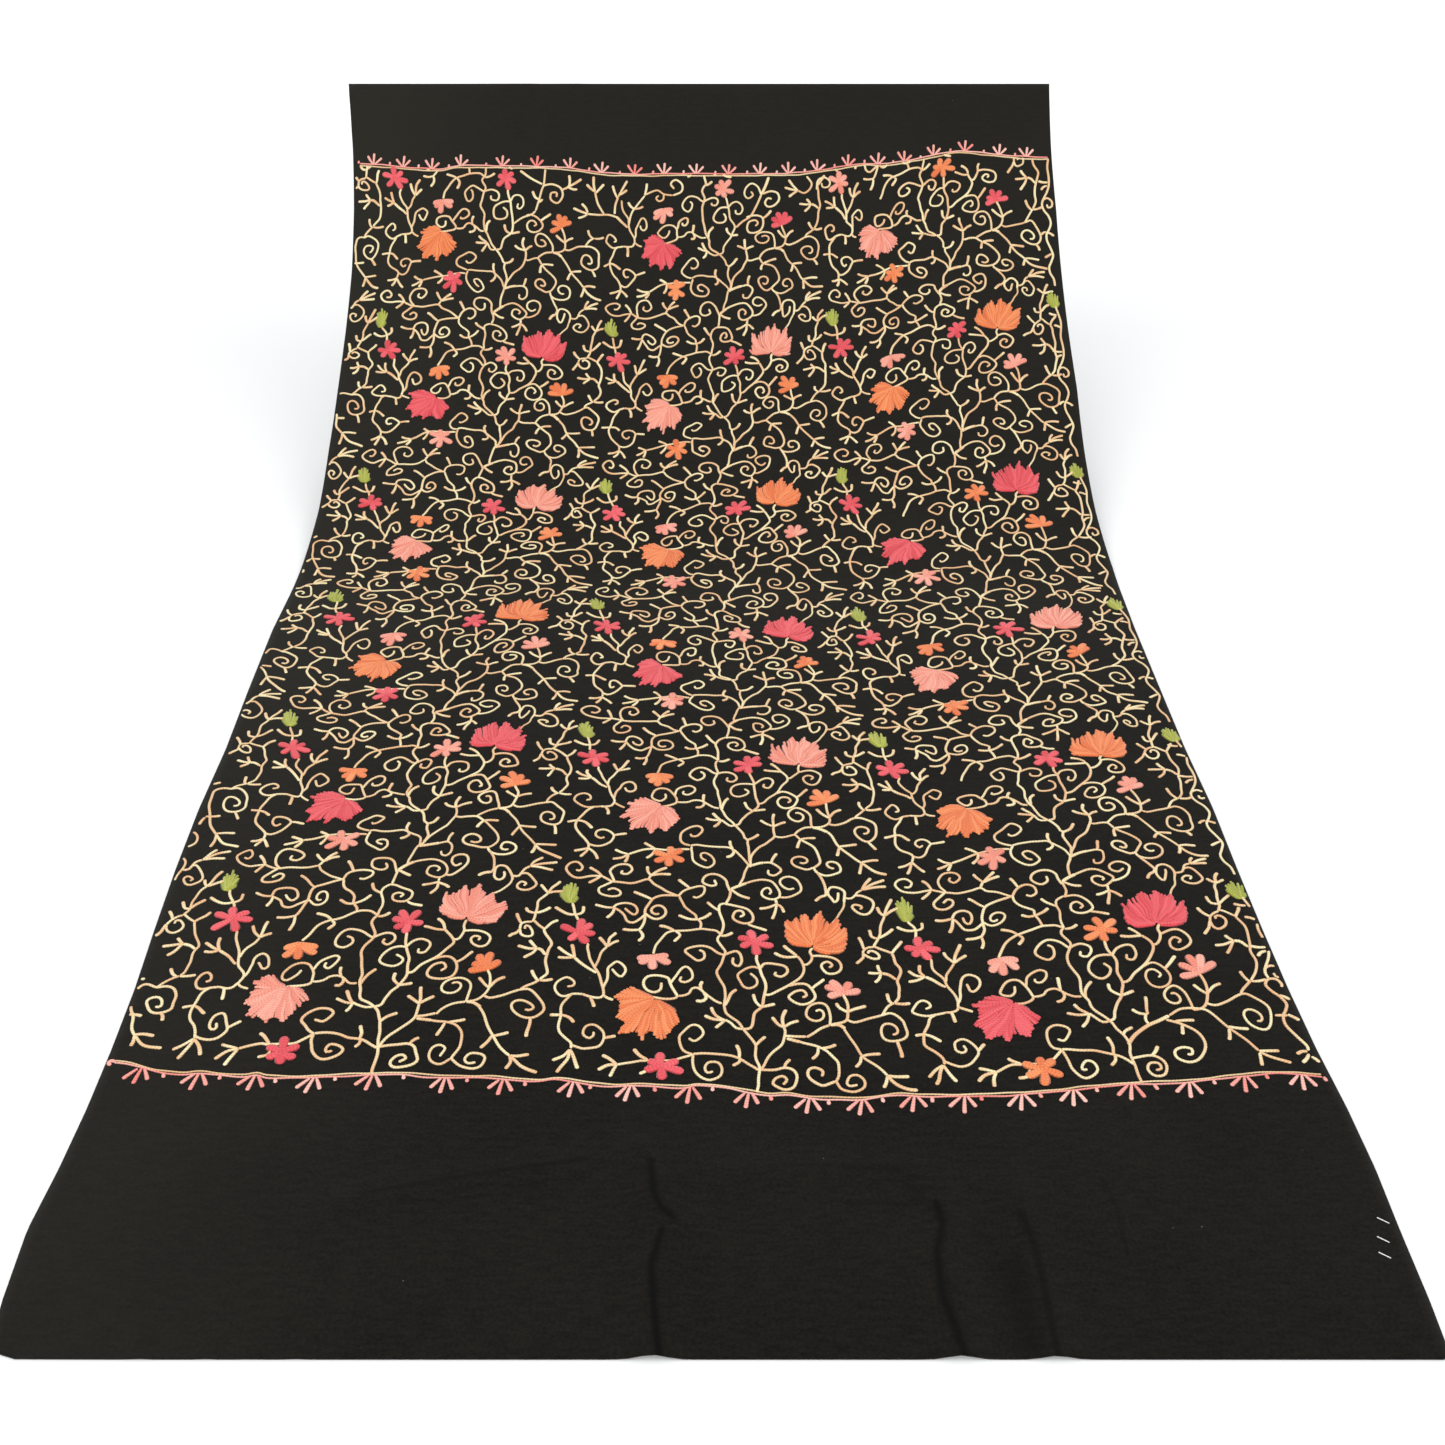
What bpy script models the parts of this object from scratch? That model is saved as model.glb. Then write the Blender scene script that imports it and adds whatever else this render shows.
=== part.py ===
# Wool shawl laid out on a surface: one rectangle of cloth, flat from its near end to past its middle,
# with its far end swept up, and embroidered lotus fans standing on its upper face.
# Metres, +Z up. "across" runs from the left edge (-X) to the right edge (+X), and "run" is the
# length along the cloth from its near end. The origin is the middle of the shawl's box, on the floor.
import math

import bpy
import numpy as np
from mathutils import Vector
from mathutils.bvhtree import BVHTree

COLLECTION_NAME = "wool_shawl"

CLOTH_WIDTH = 1.00
NEAR_END = 0.009            # run of the near cut end, at the middle of the cloth
FAR_END = 1.965             # run of the far cut end
WALL = 0.0015
END_SLANTS = (0.0128, 0.0030)   # how much run the near and the far cut lean by for each metre across
THREAD_RISE = 0.0011        # thickness of a lotus worked in thread
SEAM_GAP = 0.0003           # clearance between the cloth and what is worked on it
SEARCH_REACH = 0.02         # how far above and below the cloth its surface is looked for

# How steeply the cloth climbs: it lies flat up to the first row.
SLOPE_COLUMNS = ("run", "degrees")
SLOPES = (
    (1.08, 0.0),
    (1.15, 6.9),
    (1.30, 18.0),
    (1.45, 28.3),
    (1.60, 32.1),
    (1.80, 45.2),
    (2.00, 65.4),
)

# How far each long edge bows out of (or into) the straight cut, in millimetres.
EDGE_COLUMNS = ("run", "left", "right")
EDGES = (
    (0.009, -24.0, -5.0),
    (0.013, -12.0, -2.0),
    (0.022, -4.0, 0.0),
    (0.055, 0.0, 1.5),
    (0.119, 3.0, 2.2),
    (0.177, -1.7, 3.8),
    (0.239, -4.4, 2.3),
    (0.306, -4.9, -1.8),
    (0.379, -3.7, -3.7),
    (0.458, 0.3, -3.9),
    (0.546, 3.8, -3.2),
    (0.642, 5.5, -1.4),
    (0.748, 3.4, -3.6),
    (0.865, 5.4, -2.8),
    (0.997, 6.4, -1.9),
    (1.140, 0.8, 1.6),
    (1.263, -2.2, 0.6),
    (1.374, -0.8, 2.4),
    (1.478, -2.1, 5.4),
    (1.581, -4.0, 3.7),
    (1.682, -5.0, 2.9),
    (1.779, -3.0, 2.1),
    (1.870, 0.7, -1.4),
    (1.956, 5.9, -3.5),
)
EDGE_BAND = 0.14            # width of cloth that follows each edge's bow

# The largest folds, each a ridge: its height, its half width and its route of (across, run) points.
FOLDS = (
    (0.0050, 0.013, ((-0.060, 0.200), (-0.045, 0.150), (-0.030, 0.125), (-0.042, 0.080), (-0.044, -0.05))),
    (0.0045, 0.012, ((0.163, 0.160), (0.178, 0.125), (0.168, 0.095), (0.166, -0.05))),
    (0.0040, 0.012, ((0.227, 0.155), (0.230, 0.100), (0.233, -0.05))),
    (0.0025, 0.014, ((-0.270, 0.150), (-0.200, 0.165), (-0.100, 0.186))),
    (0.0022, 0.014, ((0.000, 0.170), (0.080, 0.176), (0.160, 0.172))),
)

# Grid lines of the cloth: (from, to, number of steps), closer together where the folds lie.
ACROSS_STRETCHES = ((-0.50, -0.10, 12), (-0.10, 0.00, 8), (0.00, 0.14, 4), (0.14, 0.26, 9), (0.26, 0.50, 7))
RUN_STRETCHES = ((NEAR_END, 0.025, 3), (0.025, 0.21, 11), (0.21, 1.08, 10), (1.08, FAR_END, 23))

# The lotus fans. Each opens from its apex, given from the fan's middle as across and along, through
# the directions from the first to the last, in degrees, with the reach of each petal.
FANS = {
    "hanging": (0.009, 0.019, 148.0, 328.0, (0.023, 0.034, 0.042, 0.051, 0.048, 0.044, 0.033)),
    "upright": (-0.001, -0.024, 166.0, -12.0, (0.033, 0.044, 0.051, 0.056, 0.048, 0.040, 0.031)),
}
PETAL_NOTCH = 0.17          # share of a petal's reach lost at the notch beside it
STEPS_PER_PETAL = 3
FAN_BANDS = 2

# Where the fans lie: how far along the cloth each one is, row by row from the far end.
HANGING_ACROSS = (-0.376, -0.060, 0.245)
HANGING_RUNS = (
    (1.729, 1.711, 1.731),
    (1.453, 1.436, 1.465),
    (1.188, 1.170, 1.181),
    (0.916, 0.903, 0.883),
    (0.650, 0.634, 0.623),
    (0.374, 0.354, 0.339),
)
UPRIGHT_ACROSS = (-0.220, 0.093, 0.407)
UPRIGHT_RUNS = (
    (1.557, 1.563, 1.607),
    (1.290, 1.295, 1.320),
    (1.047, 1.001, 1.023),
    (0.779, 0.746, 0.755),
    (0.500, 0.457, 0.486),
)
HANGING_THREADS = ("orange", "crimson", "salmon")
UPRIGHT_THREADS = ("crimson", "salmon", "orange")

# Colours as seen on a screen, 0 to 255, then roughness.
FINISHES = {
    "black_wool": ((33, 32, 29), 0.95),
    "orange_thread": ((247, 129, 70), 0.55),
    "crimson_thread": ((236, 80, 98), 0.55),
    "salmon_thread": ((252, 147, 130), 0.55),
}

MILLIMETRE = 0.001
PROFILE_STEP = 0.002
SCREEN_GAMMA = 2.2


def clear_scene():
    for thing in list(bpy.data.objects):
        bpy.data.objects.remove(thing, do_unlink=True)


def make_finish(name):
    screen_colour, roughness = FINISHES[name]
    finish = bpy.data.materials.new(name)
    finish.use_nodes = True
    shader = finish.node_tree.nodes["Principled BSDF"]
    colour = [(channel / 255.0) ** SCREEN_GAMMA for channel in screen_colour]
    shader.inputs["Base Color"].default_value = (*colour, 1.0)
    shader.inputs["Roughness"].default_value = roughness
    shader.inputs["Metallic"].default_value = 0.0
    return finish


def column(table, columns, name):
    place = columns.index(name)
    return np.array([row[place] for row in table])


def slope_at(run):
    """Angle of climb in radians, straight between the rows of the slope table."""
    runs = column(SLOPES, SLOPE_COLUMNS, "run")
    return np.radians(np.interp(run, runs, column(SLOPES, SLOPE_COLUMNS, "degrees")))


def profile_at(run):
    """Distance along the floor and height, by adding up short straight steps up the slope."""
    ends = np.arange(0.0, FAR_END + PROFILE_STEP * 20, PROFILE_STEP)
    climb = slope_at((ends[1:] + ends[:-1]) / 2)
    along = np.concatenate([[0.0], np.cumsum(np.cos(climb) * PROFILE_STEP)])
    height = np.concatenate([[0.0], np.cumsum(np.sin(climb) * PROFILE_STEP)])
    return np.interp(run, ends, along), np.interp(run, ends, height)


def distance_to_route(across, run, route):
    """Shortest distance from points to a route of straight pieces."""
    nearest = np.full(np.shape(across), np.inf)
    for (x0, s0), (x1, s1) in zip(route[:-1], route[1:]):
        length_squared = (x1 - x0) ** 2 + (s1 - s0) ** 2
        share = ((across - x0) * (x1 - x0) + (run - s0) * (s1 - s0)) / length_squared
        share = np.clip(share, 0.0, 1.0)
        off_across = across - x0 - share * (x1 - x0)
        off_run = run - s0 - share * (s1 - s0)
        nearest = np.minimum(nearest, np.hypot(off_across, off_run))
    return nearest


def fold_height(across, run):
    """Sum of the folds' ridges, each falling off as a bell curve on both sides of its route."""
    total = np.zeros(np.shape(across))
    for height, half_width, route in FOLDS:
        total += height * np.exp(-((distance_to_route(across, run, route) / half_width) ** 2))
    return total


def bow_edges(across, run):
    """Move the cloth beside each long edge outwards by that edge's bow, fading to nothing inside."""
    runs = column(EDGES, EDGE_COLUMNS, "run")
    left = np.interp(run, runs, column(EDGES, EDGE_COLUMNS, "left")) * MILLIMETRE
    right = np.interp(run, runs, column(EDGES, EDGE_COLUMNS, "right")) * MILLIMETRE
    left_share = np.clip(1.0 - (across + CLOTH_WIDTH / 2) / EDGE_BAND, 0.0, 1.0)
    right_share = np.clip(1.0 - (CLOTH_WIDTH / 2 - across) / EDGE_BAND, 0.0, 1.0)
    return across - left * left_share ** 2 + right * right_share ** 2


def on_cloth(across, run, rise=0.0):
    """Points of the cloth's lower face, raised square to it by the folds and by rise."""
    along, height = profile_at(run)
    climb = slope_at(run)
    lift = fold_height(across, run) + rise
    return np.stack([across, along - np.sin(climb) * lift, height + np.cos(climb) * lift], axis=-1)


def grid_lines(stretches):
    lines = [np.linspace(start, end, steps + 1)[:-1] for start, end, steps in stretches]
    return np.concatenate(lines + [[stretches[-1][1]]])


def grid_faces(rows, columns):
    """Four-sided faces of a grid of points stored row by row, facing up when rows climb in +Y."""
    corner = np.arange((rows - 1) * columns).reshape(rows - 1, columns)[:, :-1].ravel()
    return np.stack([corner, corner + 1, corner + columns + 1, corner + columns], axis=1)


def make_surface(name, points, faces, collection):
    mesh = bpy.data.meshes.new(name)
    mesh.from_pydata([tuple(point) for point in points.tolist()], [], [tuple(face) for face in faces])
    mesh.shade_smooth()
    surface = bpy.data.objects.new(name, mesh)
    collection.objects.link(surface)
    return surface


def give_wall(surface, thickness, finish):
    """Thicken an open surface upwards, so its own face stays the underside."""
    wall = surface.modifiers.new("wall", "SOLIDIFY")
    wall.thickness = thickness
    wall.offset = 1.0
    wall.use_rim = True
    surface.data.materials.append(finish)


def make_cloth(collection, finish):
    across_lines = grid_lines(ACROSS_STRETCHES)
    run_lines = grid_lines(RUN_STRETCHES)
    across, run = np.meshgrid(across_lines, run_lines)
    slants = np.interp(run, (NEAR_END, FAR_END), END_SLANTS)
    points = on_cloth(bow_edges(across, run), run - slants * across)
    middle = (points.reshape(-1, 3).min(axis=0) + points.reshape(-1, 3).max(axis=0)) / 2
    shift = np.array([-middle[0], -middle[1], 0.0])
    faces = grid_faces(len(run_lines), len(across_lines)).tolist()
    cloth = make_surface("shawl_cloth", points.reshape(-1, 3) + shift, faces, collection)
    give_wall(cloth, WALL, finish)
    return cloth, shift


def petal_reach(share, reaches):
    """Reach of the fan's rim: each petal is a rounded lobe, and its reach changes evenly to the next."""
    place = share * len(reaches)
    lobe = 1.0 - PETAL_NOTCH * (2.0 * (place - np.floor(place)) - 1.0) ** 2
    middles = (np.arange(len(reaches)) + 0.5) / len(reaches)
    return np.interp(share, middles, reaches) * lobe


def fan_points(kind):
    """Grid of a fan: from the apex out to the rim, and round through the fan's directions."""
    apex_across, apex_along, first, last, reaches = FANS[kind]
    share = np.linspace(0.0, 1.0, len(reaches) * STEPS_PER_PETAL + 1)
    direction = np.radians(first + (last - first) * share)
    reach = petal_reach(share, reaches)
    bands = np.linspace(0.0, 1.0, FAN_BANDS + 1)[1:, None]
    across = apex_across + bands * (reach * np.cos(direction))[None, :]
    along = apex_along + bands * (reach * np.sin(direction))[None, :]
    across = np.concatenate([[apex_across], across.ravel()])
    along = np.concatenate([[apex_along], along.ravel()])
    return across, along, last > first


def fan_faces(columns, turns_left):
    """Triangles round the apex, then four-sided faces out to the rim, all facing up."""
    faces = [(0, 1 + i, 2 + i) for i in range(columns - 1)]
    for band in range(FAN_BANDS - 1):
        inner = 1 + band * columns
        outer = inner + columns
        faces += [(inner + i, outer + i, outer + i + 1, inner + i + 1) for i in range(columns - 1)]
    return faces if turns_left else [face[::-1] for face in faces]


def settle_on(tree, point, normal):
    """The place straight below a point on the cloth that shows, moved out by the seam gap."""
    start = Vector(point) + normal * SEARCH_REACH
    hit = tree.ray_cast(start, -normal, 2 * SEARCH_REACH)[0]
    return hit + normal * SEAM_GAP


def make_lotus(name, kind, across_middle, run_middle, finish, tree, shift, collection):
    across, along, turns_left = fan_points(kind)
    across = across + across_middle
    run = along + run_middle
    climb = slope_at(run)
    points = on_cloth(across, run, WALL) + shift
    normals = [Vector((0.0, -math.sin(angle), math.cos(angle))) for angle in climb]
    settled = np.array([settle_on(tree, point, normal) for point, normal in zip(points, normals)])
    columns = (len(across) - 1) // FAN_BANDS
    lotus = make_surface(name, settled, fan_faces(columns, turns_left), collection)
    give_wall(lotus, THREAD_RISE, finish)
    return lotus


def make_lotus_rows(kind, across_places, rows, threads, finishes, tree, shift, collection):
    for row_number, runs in enumerate(rows):
        for place, (across_middle, run_middle) in enumerate(zip(across_places, runs)):
            thread = threads[(row_number + place) % len(threads)]
            finish = finishes[f"{thread}_thread"]
            name = f"{kind}_lotus_{row_number + 1}_{place + 1}"
            make_lotus(name, kind, across_middle, run_middle, finish, tree, shift, collection)


def make_shawl():
    clear_scene()
    collection = bpy.data.collections.new(COLLECTION_NAME)
    bpy.context.scene.collection.children.link(collection)
    finishes = {name: make_finish(name) for name in FINISHES}
    cloth, shift = make_cloth(collection, finishes["black_wool"])
    bpy.context.view_layer.update()
    tree = BVHTree.FromObject(cloth, bpy.context.evaluated_depsgraph_get())
    hanging = (HANGING_ACROSS, HANGING_RUNS, HANGING_THREADS)
    make_lotus_rows("hanging", *hanging, finishes, tree, shift, collection)
    upright = (UPRIGHT_ACROSS, UPRIGHT_RUNS, UPRIGHT_THREADS)
    make_lotus_rows("upright", *upright, finishes, tree, shift, collection)


make_shawl()
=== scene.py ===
import math

import bpy
import numpy as np
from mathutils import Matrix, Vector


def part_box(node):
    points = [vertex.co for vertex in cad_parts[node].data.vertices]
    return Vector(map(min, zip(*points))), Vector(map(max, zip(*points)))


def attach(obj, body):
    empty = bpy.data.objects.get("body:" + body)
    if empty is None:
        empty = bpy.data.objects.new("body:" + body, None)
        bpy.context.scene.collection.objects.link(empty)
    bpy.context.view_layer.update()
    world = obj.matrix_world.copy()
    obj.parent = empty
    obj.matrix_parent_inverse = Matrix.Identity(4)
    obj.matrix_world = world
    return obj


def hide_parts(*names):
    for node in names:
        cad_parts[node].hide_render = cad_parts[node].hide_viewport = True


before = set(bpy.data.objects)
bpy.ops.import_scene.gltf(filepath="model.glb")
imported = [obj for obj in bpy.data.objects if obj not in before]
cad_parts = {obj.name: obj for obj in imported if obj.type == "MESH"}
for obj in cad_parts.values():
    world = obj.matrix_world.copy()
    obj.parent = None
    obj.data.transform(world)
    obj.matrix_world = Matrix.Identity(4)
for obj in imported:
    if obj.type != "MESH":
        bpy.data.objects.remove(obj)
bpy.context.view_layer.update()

# A black wool shawl laid out, with its far end swept up. "across" runs from the left edge to the right one
# and "run" along the cloth from its near end, both in metres. Charts of the sewing are in millimetres.
print("frame loaded:", len(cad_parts), "nodes")

millimetre = 0.001
chance = np.random.default_rng(20)


# The cloth's shape.

cloth = {
    "width": 1.00,
    "ends": (0.009, 1.965),
    "wall": 0.0015,
    "endSlants": (0.0128, 0.0030),
    "edgeBand": 0.14,
    "columns": 112,
    "rowStep": 0.0095,
    "cornerRows": (0.009, 0.0105, 0.013, 0.017, 0.022, 0.029),
    # run, degrees of climb
    "slopes": (
        (1.08, 0.0), (1.15, 6.9), (1.30, 18.0), (1.45, 28.3), (1.60, 32.1), (1.80, 45.2), (2.00, 65.4),
    ),
    # run, how far the left and the right edge bow out, in millimetres
    "edges": (
        (0.009, -24.0, -5.0), (0.013, -12.0, -2.0), (0.022, -4.0, 0.0), (0.055, 0.0, 1.5), (0.119, 3.0, 2.2),
        (0.177, -1.7, 3.8), (0.239, -4.4, 2.3), (0.306, -4.9, -1.8), (0.379, -3.7, -3.7), (0.458, 0.3, -3.9),
        (0.546, 3.8, -3.2), (0.642, 5.5, -1.4), (0.748, 3.4, -3.6), (0.865, 5.4, -2.8), (0.997, 6.4, -1.9),
        (1.140, 0.8, 1.6), (1.263, -2.2, 0.6), (1.374, -0.8, 2.4), (1.478, -2.1, 5.4), (1.581, -4.0, 3.7),
        (1.682, -5.0, 2.9), (1.779, -3.0, 2.1), (1.870, 0.7, -1.4), (1.956, 5.9, -3.5),
    ),
    # height, half width, route: the folds that part.py has
    "folds": (
        (
            0.0050, 0.013,
            ((-0.060, 0.200), (-0.045, 0.150), (-0.030, 0.125), (-0.042, 0.080), (-0.044, -0.05)),
        ),
        (0.0045, 0.012, ((0.163, 0.160), (0.178, 0.125), (0.168, 0.095), (0.166, -0.05))),
        (0.0040, 0.012, ((0.227, 0.155), (0.230, 0.100), (0.233, -0.05))),
        (0.0025, 0.014, ((-0.270, 0.150), (-0.200, 0.165), (-0.100, 0.186))),
        (0.0022, 0.014, ((0.000, 0.170), (0.080, 0.176), (0.160, 0.172))),
    ),
    # shallow creases and press lines besides them
    "creases": (
        (0.0006, 0.006, ((-0.390, 0.23), (-0.392, -0.05))),
        (0.0005, 0.006, ((-0.345, 0.20), (-0.346, -0.05))),
        (0.0005, 0.005, ((-0.315, 0.16), (-0.316, -0.05))),
        (0.0006, 0.006, ((-0.285, 0.22), (-0.286, -0.05))),
        (0.0012, 0.014, ((-0.500, 1.900), (-0.380, 1.925), (-0.250, 1.965))),
        (0.0010, 0.012, ((-0.420, 1.875), (-0.300, 1.905), (-0.180, 1.965))),
        (0.0008, 0.016, ((0.180, 1.900), (0.300, 1.920), (0.500, 1.930))),
    ),
}


def slopeAt(run):
    # angle of climb, straight between the rows of the slope table
    table = np.array(cloth["slopes"])
    return np.radians(np.interp(run, table[:, 0], table[:, 1]))


def profileAt(run, step=0.002):
    # distance along the floor = sum of cos(climb) x step, height = sum of sin(climb) x step
    stops = np.arange(0.0, cloth["ends"][1] + 20 * step, step)
    climb = slopeAt((stops[1:] + stops[:-1]) / 2)
    along = np.concatenate([[0.0], np.cumsum(np.cos(climb) * step)])
    height = np.concatenate([[0.0], np.cumsum(np.sin(climb) * step)])
    return np.interp(run, stops, along), np.interp(run, stops, height)


def distanceToRoute(across, run, route):
    # least distance from each point to the straight pieces of a route
    nearest = np.full(np.shape(across), np.inf)
    for (x0, s0), (x1, s1) in zip(route[:-1], route[1:]):
        share = ((across - x0) * (x1 - x0) + (run - s0) * (s1 - s0)) / ((x1 - x0) ** 2 + (s1 - s0) ** 2)
        share = np.clip(share, 0.0, 1.0)
        nearest = np.minimum(nearest, np.hypot(across - x0 - share * (x1 - x0), run - s0 - share * (s1 - s0)))
    return nearest


def foldHeight(across, run):
    # sum of height x exp(-(distance / half width)^2) over the folds and creases
    total = np.zeros(np.shape(across))
    for height, halfWidth, route in cloth["folds"] + cloth["creases"]:
        total += height * np.exp(-((distanceToRoute(across, run, route) / halfWidth) ** 2))
    return total


def edgeBows(run):
    # how far the left and the right edge stand out of the straight cut, in metres
    table = np.array(cloth["edges"])
    left = np.interp(run, table[:, 0], table[:, 1]) * millimetre
    right = np.interp(run, table[:, 0], table[:, 2]) * millimetre
    return left, right


def bowEdges(across, run):
    # across moves out by its edge's bow x (1 - distance from the edge / band)^2
    left, right = edgeBows(run)
    leftShare = np.clip(1.0 - (across + cloth["width"] / 2) / cloth["edgeBand"], 0.0, 1.0)
    rightShare = np.clip(1.0 - (cloth["width"] / 2 - across) / cloth["edgeBand"], 0.0, 1.0)
    return across - left * leftShare ** 2 + right * rightShare ** 2


clothShift = np.zeros(3)  # set once the cloth's grid is known


def onCloth(across, run, rise=0.0):
    # a point of the cloth's lower face, moved out square to it by the folds and by rise
    along, height = profileAt(run)
    climb = slopeAt(run)
    lift = foldHeight(across, run) + rise
    points = np.stack([across, along - np.sin(climb) * lift, height + np.cos(climb) * lift], axis=-1)
    return points + clothShift


# Meshes.

def makeMesh(name, points, quads, triangles=None, maps=None, tone=None):
    # puts whole arrays into a mesh: points (n, 3), quads (m, 4), triangles (k, 3), maps (n, 2), tone (n)
    mesh = bpy.data.meshes.new(name)
    triangles = np.zeros((0, 3), int) if triangles is None else triangles
    corners = np.concatenate([quads.ravel(), triangles.ravel()]).astype(np.int32)
    sizes = np.concatenate([np.full(len(quads), 4), np.full(len(triangles), 3)])
    starts = np.concatenate([[0], np.cumsum(sizes)[:-1]])
    mesh.vertices.add(len(points))
    mesh.vertices.foreach_set("co", points.astype(np.float32).ravel())
    mesh.loops.add(len(corners))
    mesh.loops.foreach_set("vertex_index", corners)
    mesh.polygons.add(len(sizes))
    mesh.polygons.foreach_set("loop_start", starts.astype(np.int32))
    mesh.update(calc_edges=True)
    if maps is not None:
        layer = mesh.uv_layers.new(name="along")
        layer.data.foreach_set("uv", maps[corners].astype(np.float32).ravel())
    if tone is not None:
        layer = mesh.attributes.new("tone", "FLOAT", "POINT")
        layer.data.foreach_set("value", tone.astype(np.float32))
    mesh.shade_smooth()
    mesh.validate()
    piece = bpy.data.objects.new(name, mesh)
    bpy.context.scene.collection.objects.link(piece)
    return piece


def gridQuads(rows, columns):
    # the quads of a grid stored row by row, facing up where rows climb and columns go right
    corner = np.arange((rows - 1) * columns).reshape(rows - 1, columns)[:, :-1].ravel()
    return np.stack([corner, corner + 1, corner + columns + 1, corner + columns], axis=1)


def clothGrid():
    # across and run of every grid point: straight columns, and rows that lie closest together at the near end
    far = cloth["ends"][1]
    rest = np.arange(cloth["cornerRows"][-1], far, cloth["rowStep"])[1:]
    runs = np.concatenate([cloth["cornerRows"], rest[:-1], [far]])
    columns = np.linspace(-cloth["width"] / 2, cloth["width"] / 2, cloth["columns"])
    return np.meshgrid(columns, runs)


def clothSurface(across, run):
    # the surface point(across, run), with bowed long edges and slanted ends
    slants = np.interp(run, cloth["ends"], cloth["endSlants"])
    return onCloth(bowEdges(across, run), run - slants * across).reshape(-1, 3)


def shiftToFrame():
    # the way from the cloth as worked out to its place in the frame: same middle across, same near end
    points = clothSurface(*clothGrid())
    low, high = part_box("shawl_cloth")
    middle = (points[:, 0].min() + points[:, 0].max()) / 2
    return np.array([(low[0] + high[0]) / 2 - middle, low[1] - points[:, 1].min(), 0.0])


def makeCloth():
    # the surface on its grid, thickened upwards by the wall
    across, run = clothGrid()
    maps = np.stack([across.ravel(), run.ravel()], axis=1)
    piece = makeMesh("woolCloth", clothSurface(across, run), gridQuads(*across.shape), maps=maps)
    wall = piece.modifiers.new("wall", "SOLIDIFY")
    wall.thickness = cloth["wall"]
    wall.offset = 1.0
    wall.use_rim = True
    return piece


clothShift += shiftToFrame()
woolCloth = makeCloth()
print("cloth made, shifted by", clothShift.round(5).tolist())


# Where the pattern lies.

# One repeat is charted in millimetres from the middle of its hanging lotus. Repeats stand on an even lattice,
# and a smooth warp takes the lattice to the places where the motifs really lie on this hand-stitched cloth.
lattice = {
    "first": (-0.060, 0.354), "pitch": (0.307, 0.2715), "rows": 6, "columns": (-1, 0, 1, 2),
    "smoothing": 2e-5,
}

# chart place, then for each row from the far end: how far along the three motifs lie, and their threads
motifs = {
    "hanging": {
        "middle": (0, 0), "firstRow": 0, "across": (-0.376, -0.060, 0.245),
        "topShift": (-0.006, -0.006, -0.006),
        "rows": (
            (1.729, 1.711, 1.731, "OCS"), (1.453, 1.436, 1.465, "CSO"), (1.188, 1.170, 1.181, "SOC"),
            (0.916, 0.903, 0.883, "OCS"), (0.650, 0.634, 0.623, "CSO"), (0.374, 0.354, 0.339, "SOC"),
        ),
    },
    "upright": {
        "middle": (150, 103), "firstRow": 1, "across": (-0.220, 0.093, 0.407),
        "rows": (
            (1.557, 1.563, 1.607, "CSO"), (1.290, 1.295, 1.320, "SOC"), (1.047, 1.001, 1.023, "OCS"),
            (0.779, 0.746, 0.755, "CSO"), (0.500, 0.457, 0.486, "SOC"),
        ),
    },
    "star": {
        "middle": (-61, 106), "firstRow": 0, "across": (-0.437, -0.122, 0.183),
        "topShift": (-0.006, -0.006, 0.006),
        "rows": (
            (1.832, 1.812, 1.823, "C-S"), (1.551, 1.530, 1.549, "CCC"), (1.281, 1.257, 1.274, "CCC"),
            (1.030, 1.008, 0.975, "CCC"), (0.759, 0.735, 0.711, "CCC"), (0.481, 0.461, 0.431, "CCC"),
        ),
    },
    "bell": {
        "middle": (4, 68), "firstRow": 0, "across": (-0.366, -0.054, 0.252),
        "topShift": (-0.0075, -0.006, -0.006),
        "rows": (
            (1.789, 1.772, 1.786, "SS-"), (1.513, 1.496, 1.527, "OOS"), (1.246, 1.226, 1.240, "OS-"),
            (0.982, 0.967, 0.950, "SOO"), (0.710, 0.696, 0.680, "OO-"), (0.437, 0.421, 0.408, "OSS"),
        ),
    },
    "aster": {
        "middle": (95, 87), "firstRow": 0, "across": (-0.276, 0.037, 0.347),
        "topShift": (-0.0085, -0.0105, -0.007),
        "rows": (
            (1.829, 1.814, 1.843, "CSO"), (1.540, 1.535, 1.581, "SCC"), (1.271, 1.266, 1.292, "CCO"),
            (1.022, 0.985, 0.994, "CSC"), (0.753, 0.720, 0.727, "SCC"), (0.476, 0.442, 0.455, "CCO"),
        ),
    },
    "cup": {
        "middle": (167, 24), "firstRow": 0, "across": (-0.199, 0.110, 0.421),
        "topShift": (-0.007, -0.003, -0.006),
        "rows": (
            (1.759, 1.764, 1.797, "OCC"), (1.480, 1.487, 1.526, "OOS"), (1.218, 1.220, 1.235, "OSO"),
            (0.969, 0.922, 0.944, "SOO"), (0.695, 0.661, 0.679, "OOS"), (0.417, 0.378, 0.405, "OSS"),
        ),
    },
    "daisy": {
        "middle": (18, -68), "firstRow": 0, "across": (-0.356, -0.042, 0.265),
        "rows": (
            (1.666, 1.649, 1.674, "COO"), (1.398, 1.374, 1.406, "SOS"), (1.134, 1.112, 1.118, "OSS"),
            (0.860, 0.841, 0.826, "CSO"), (0.595, 0.568, 0.559, "SOS"), (0.310, 0.287, 0.280, "CCO"),
        ),
    },
    "bud": {
        "middle": (-71, 159), "firstRow": 1, "across": (-0.447, -0.130, 0.178),
        "rows": (
            (1.606, 1.584, 1.604, "GGG"), (1.331, 1.310, 1.329, "GGG"), (1.083, 1.059, 1.032, "GGG"),
            (0.812, 0.790, 0.765, "GGG"), (0.535, 0.515, 0.485, "GGG"),
        ),
    },
}


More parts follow.
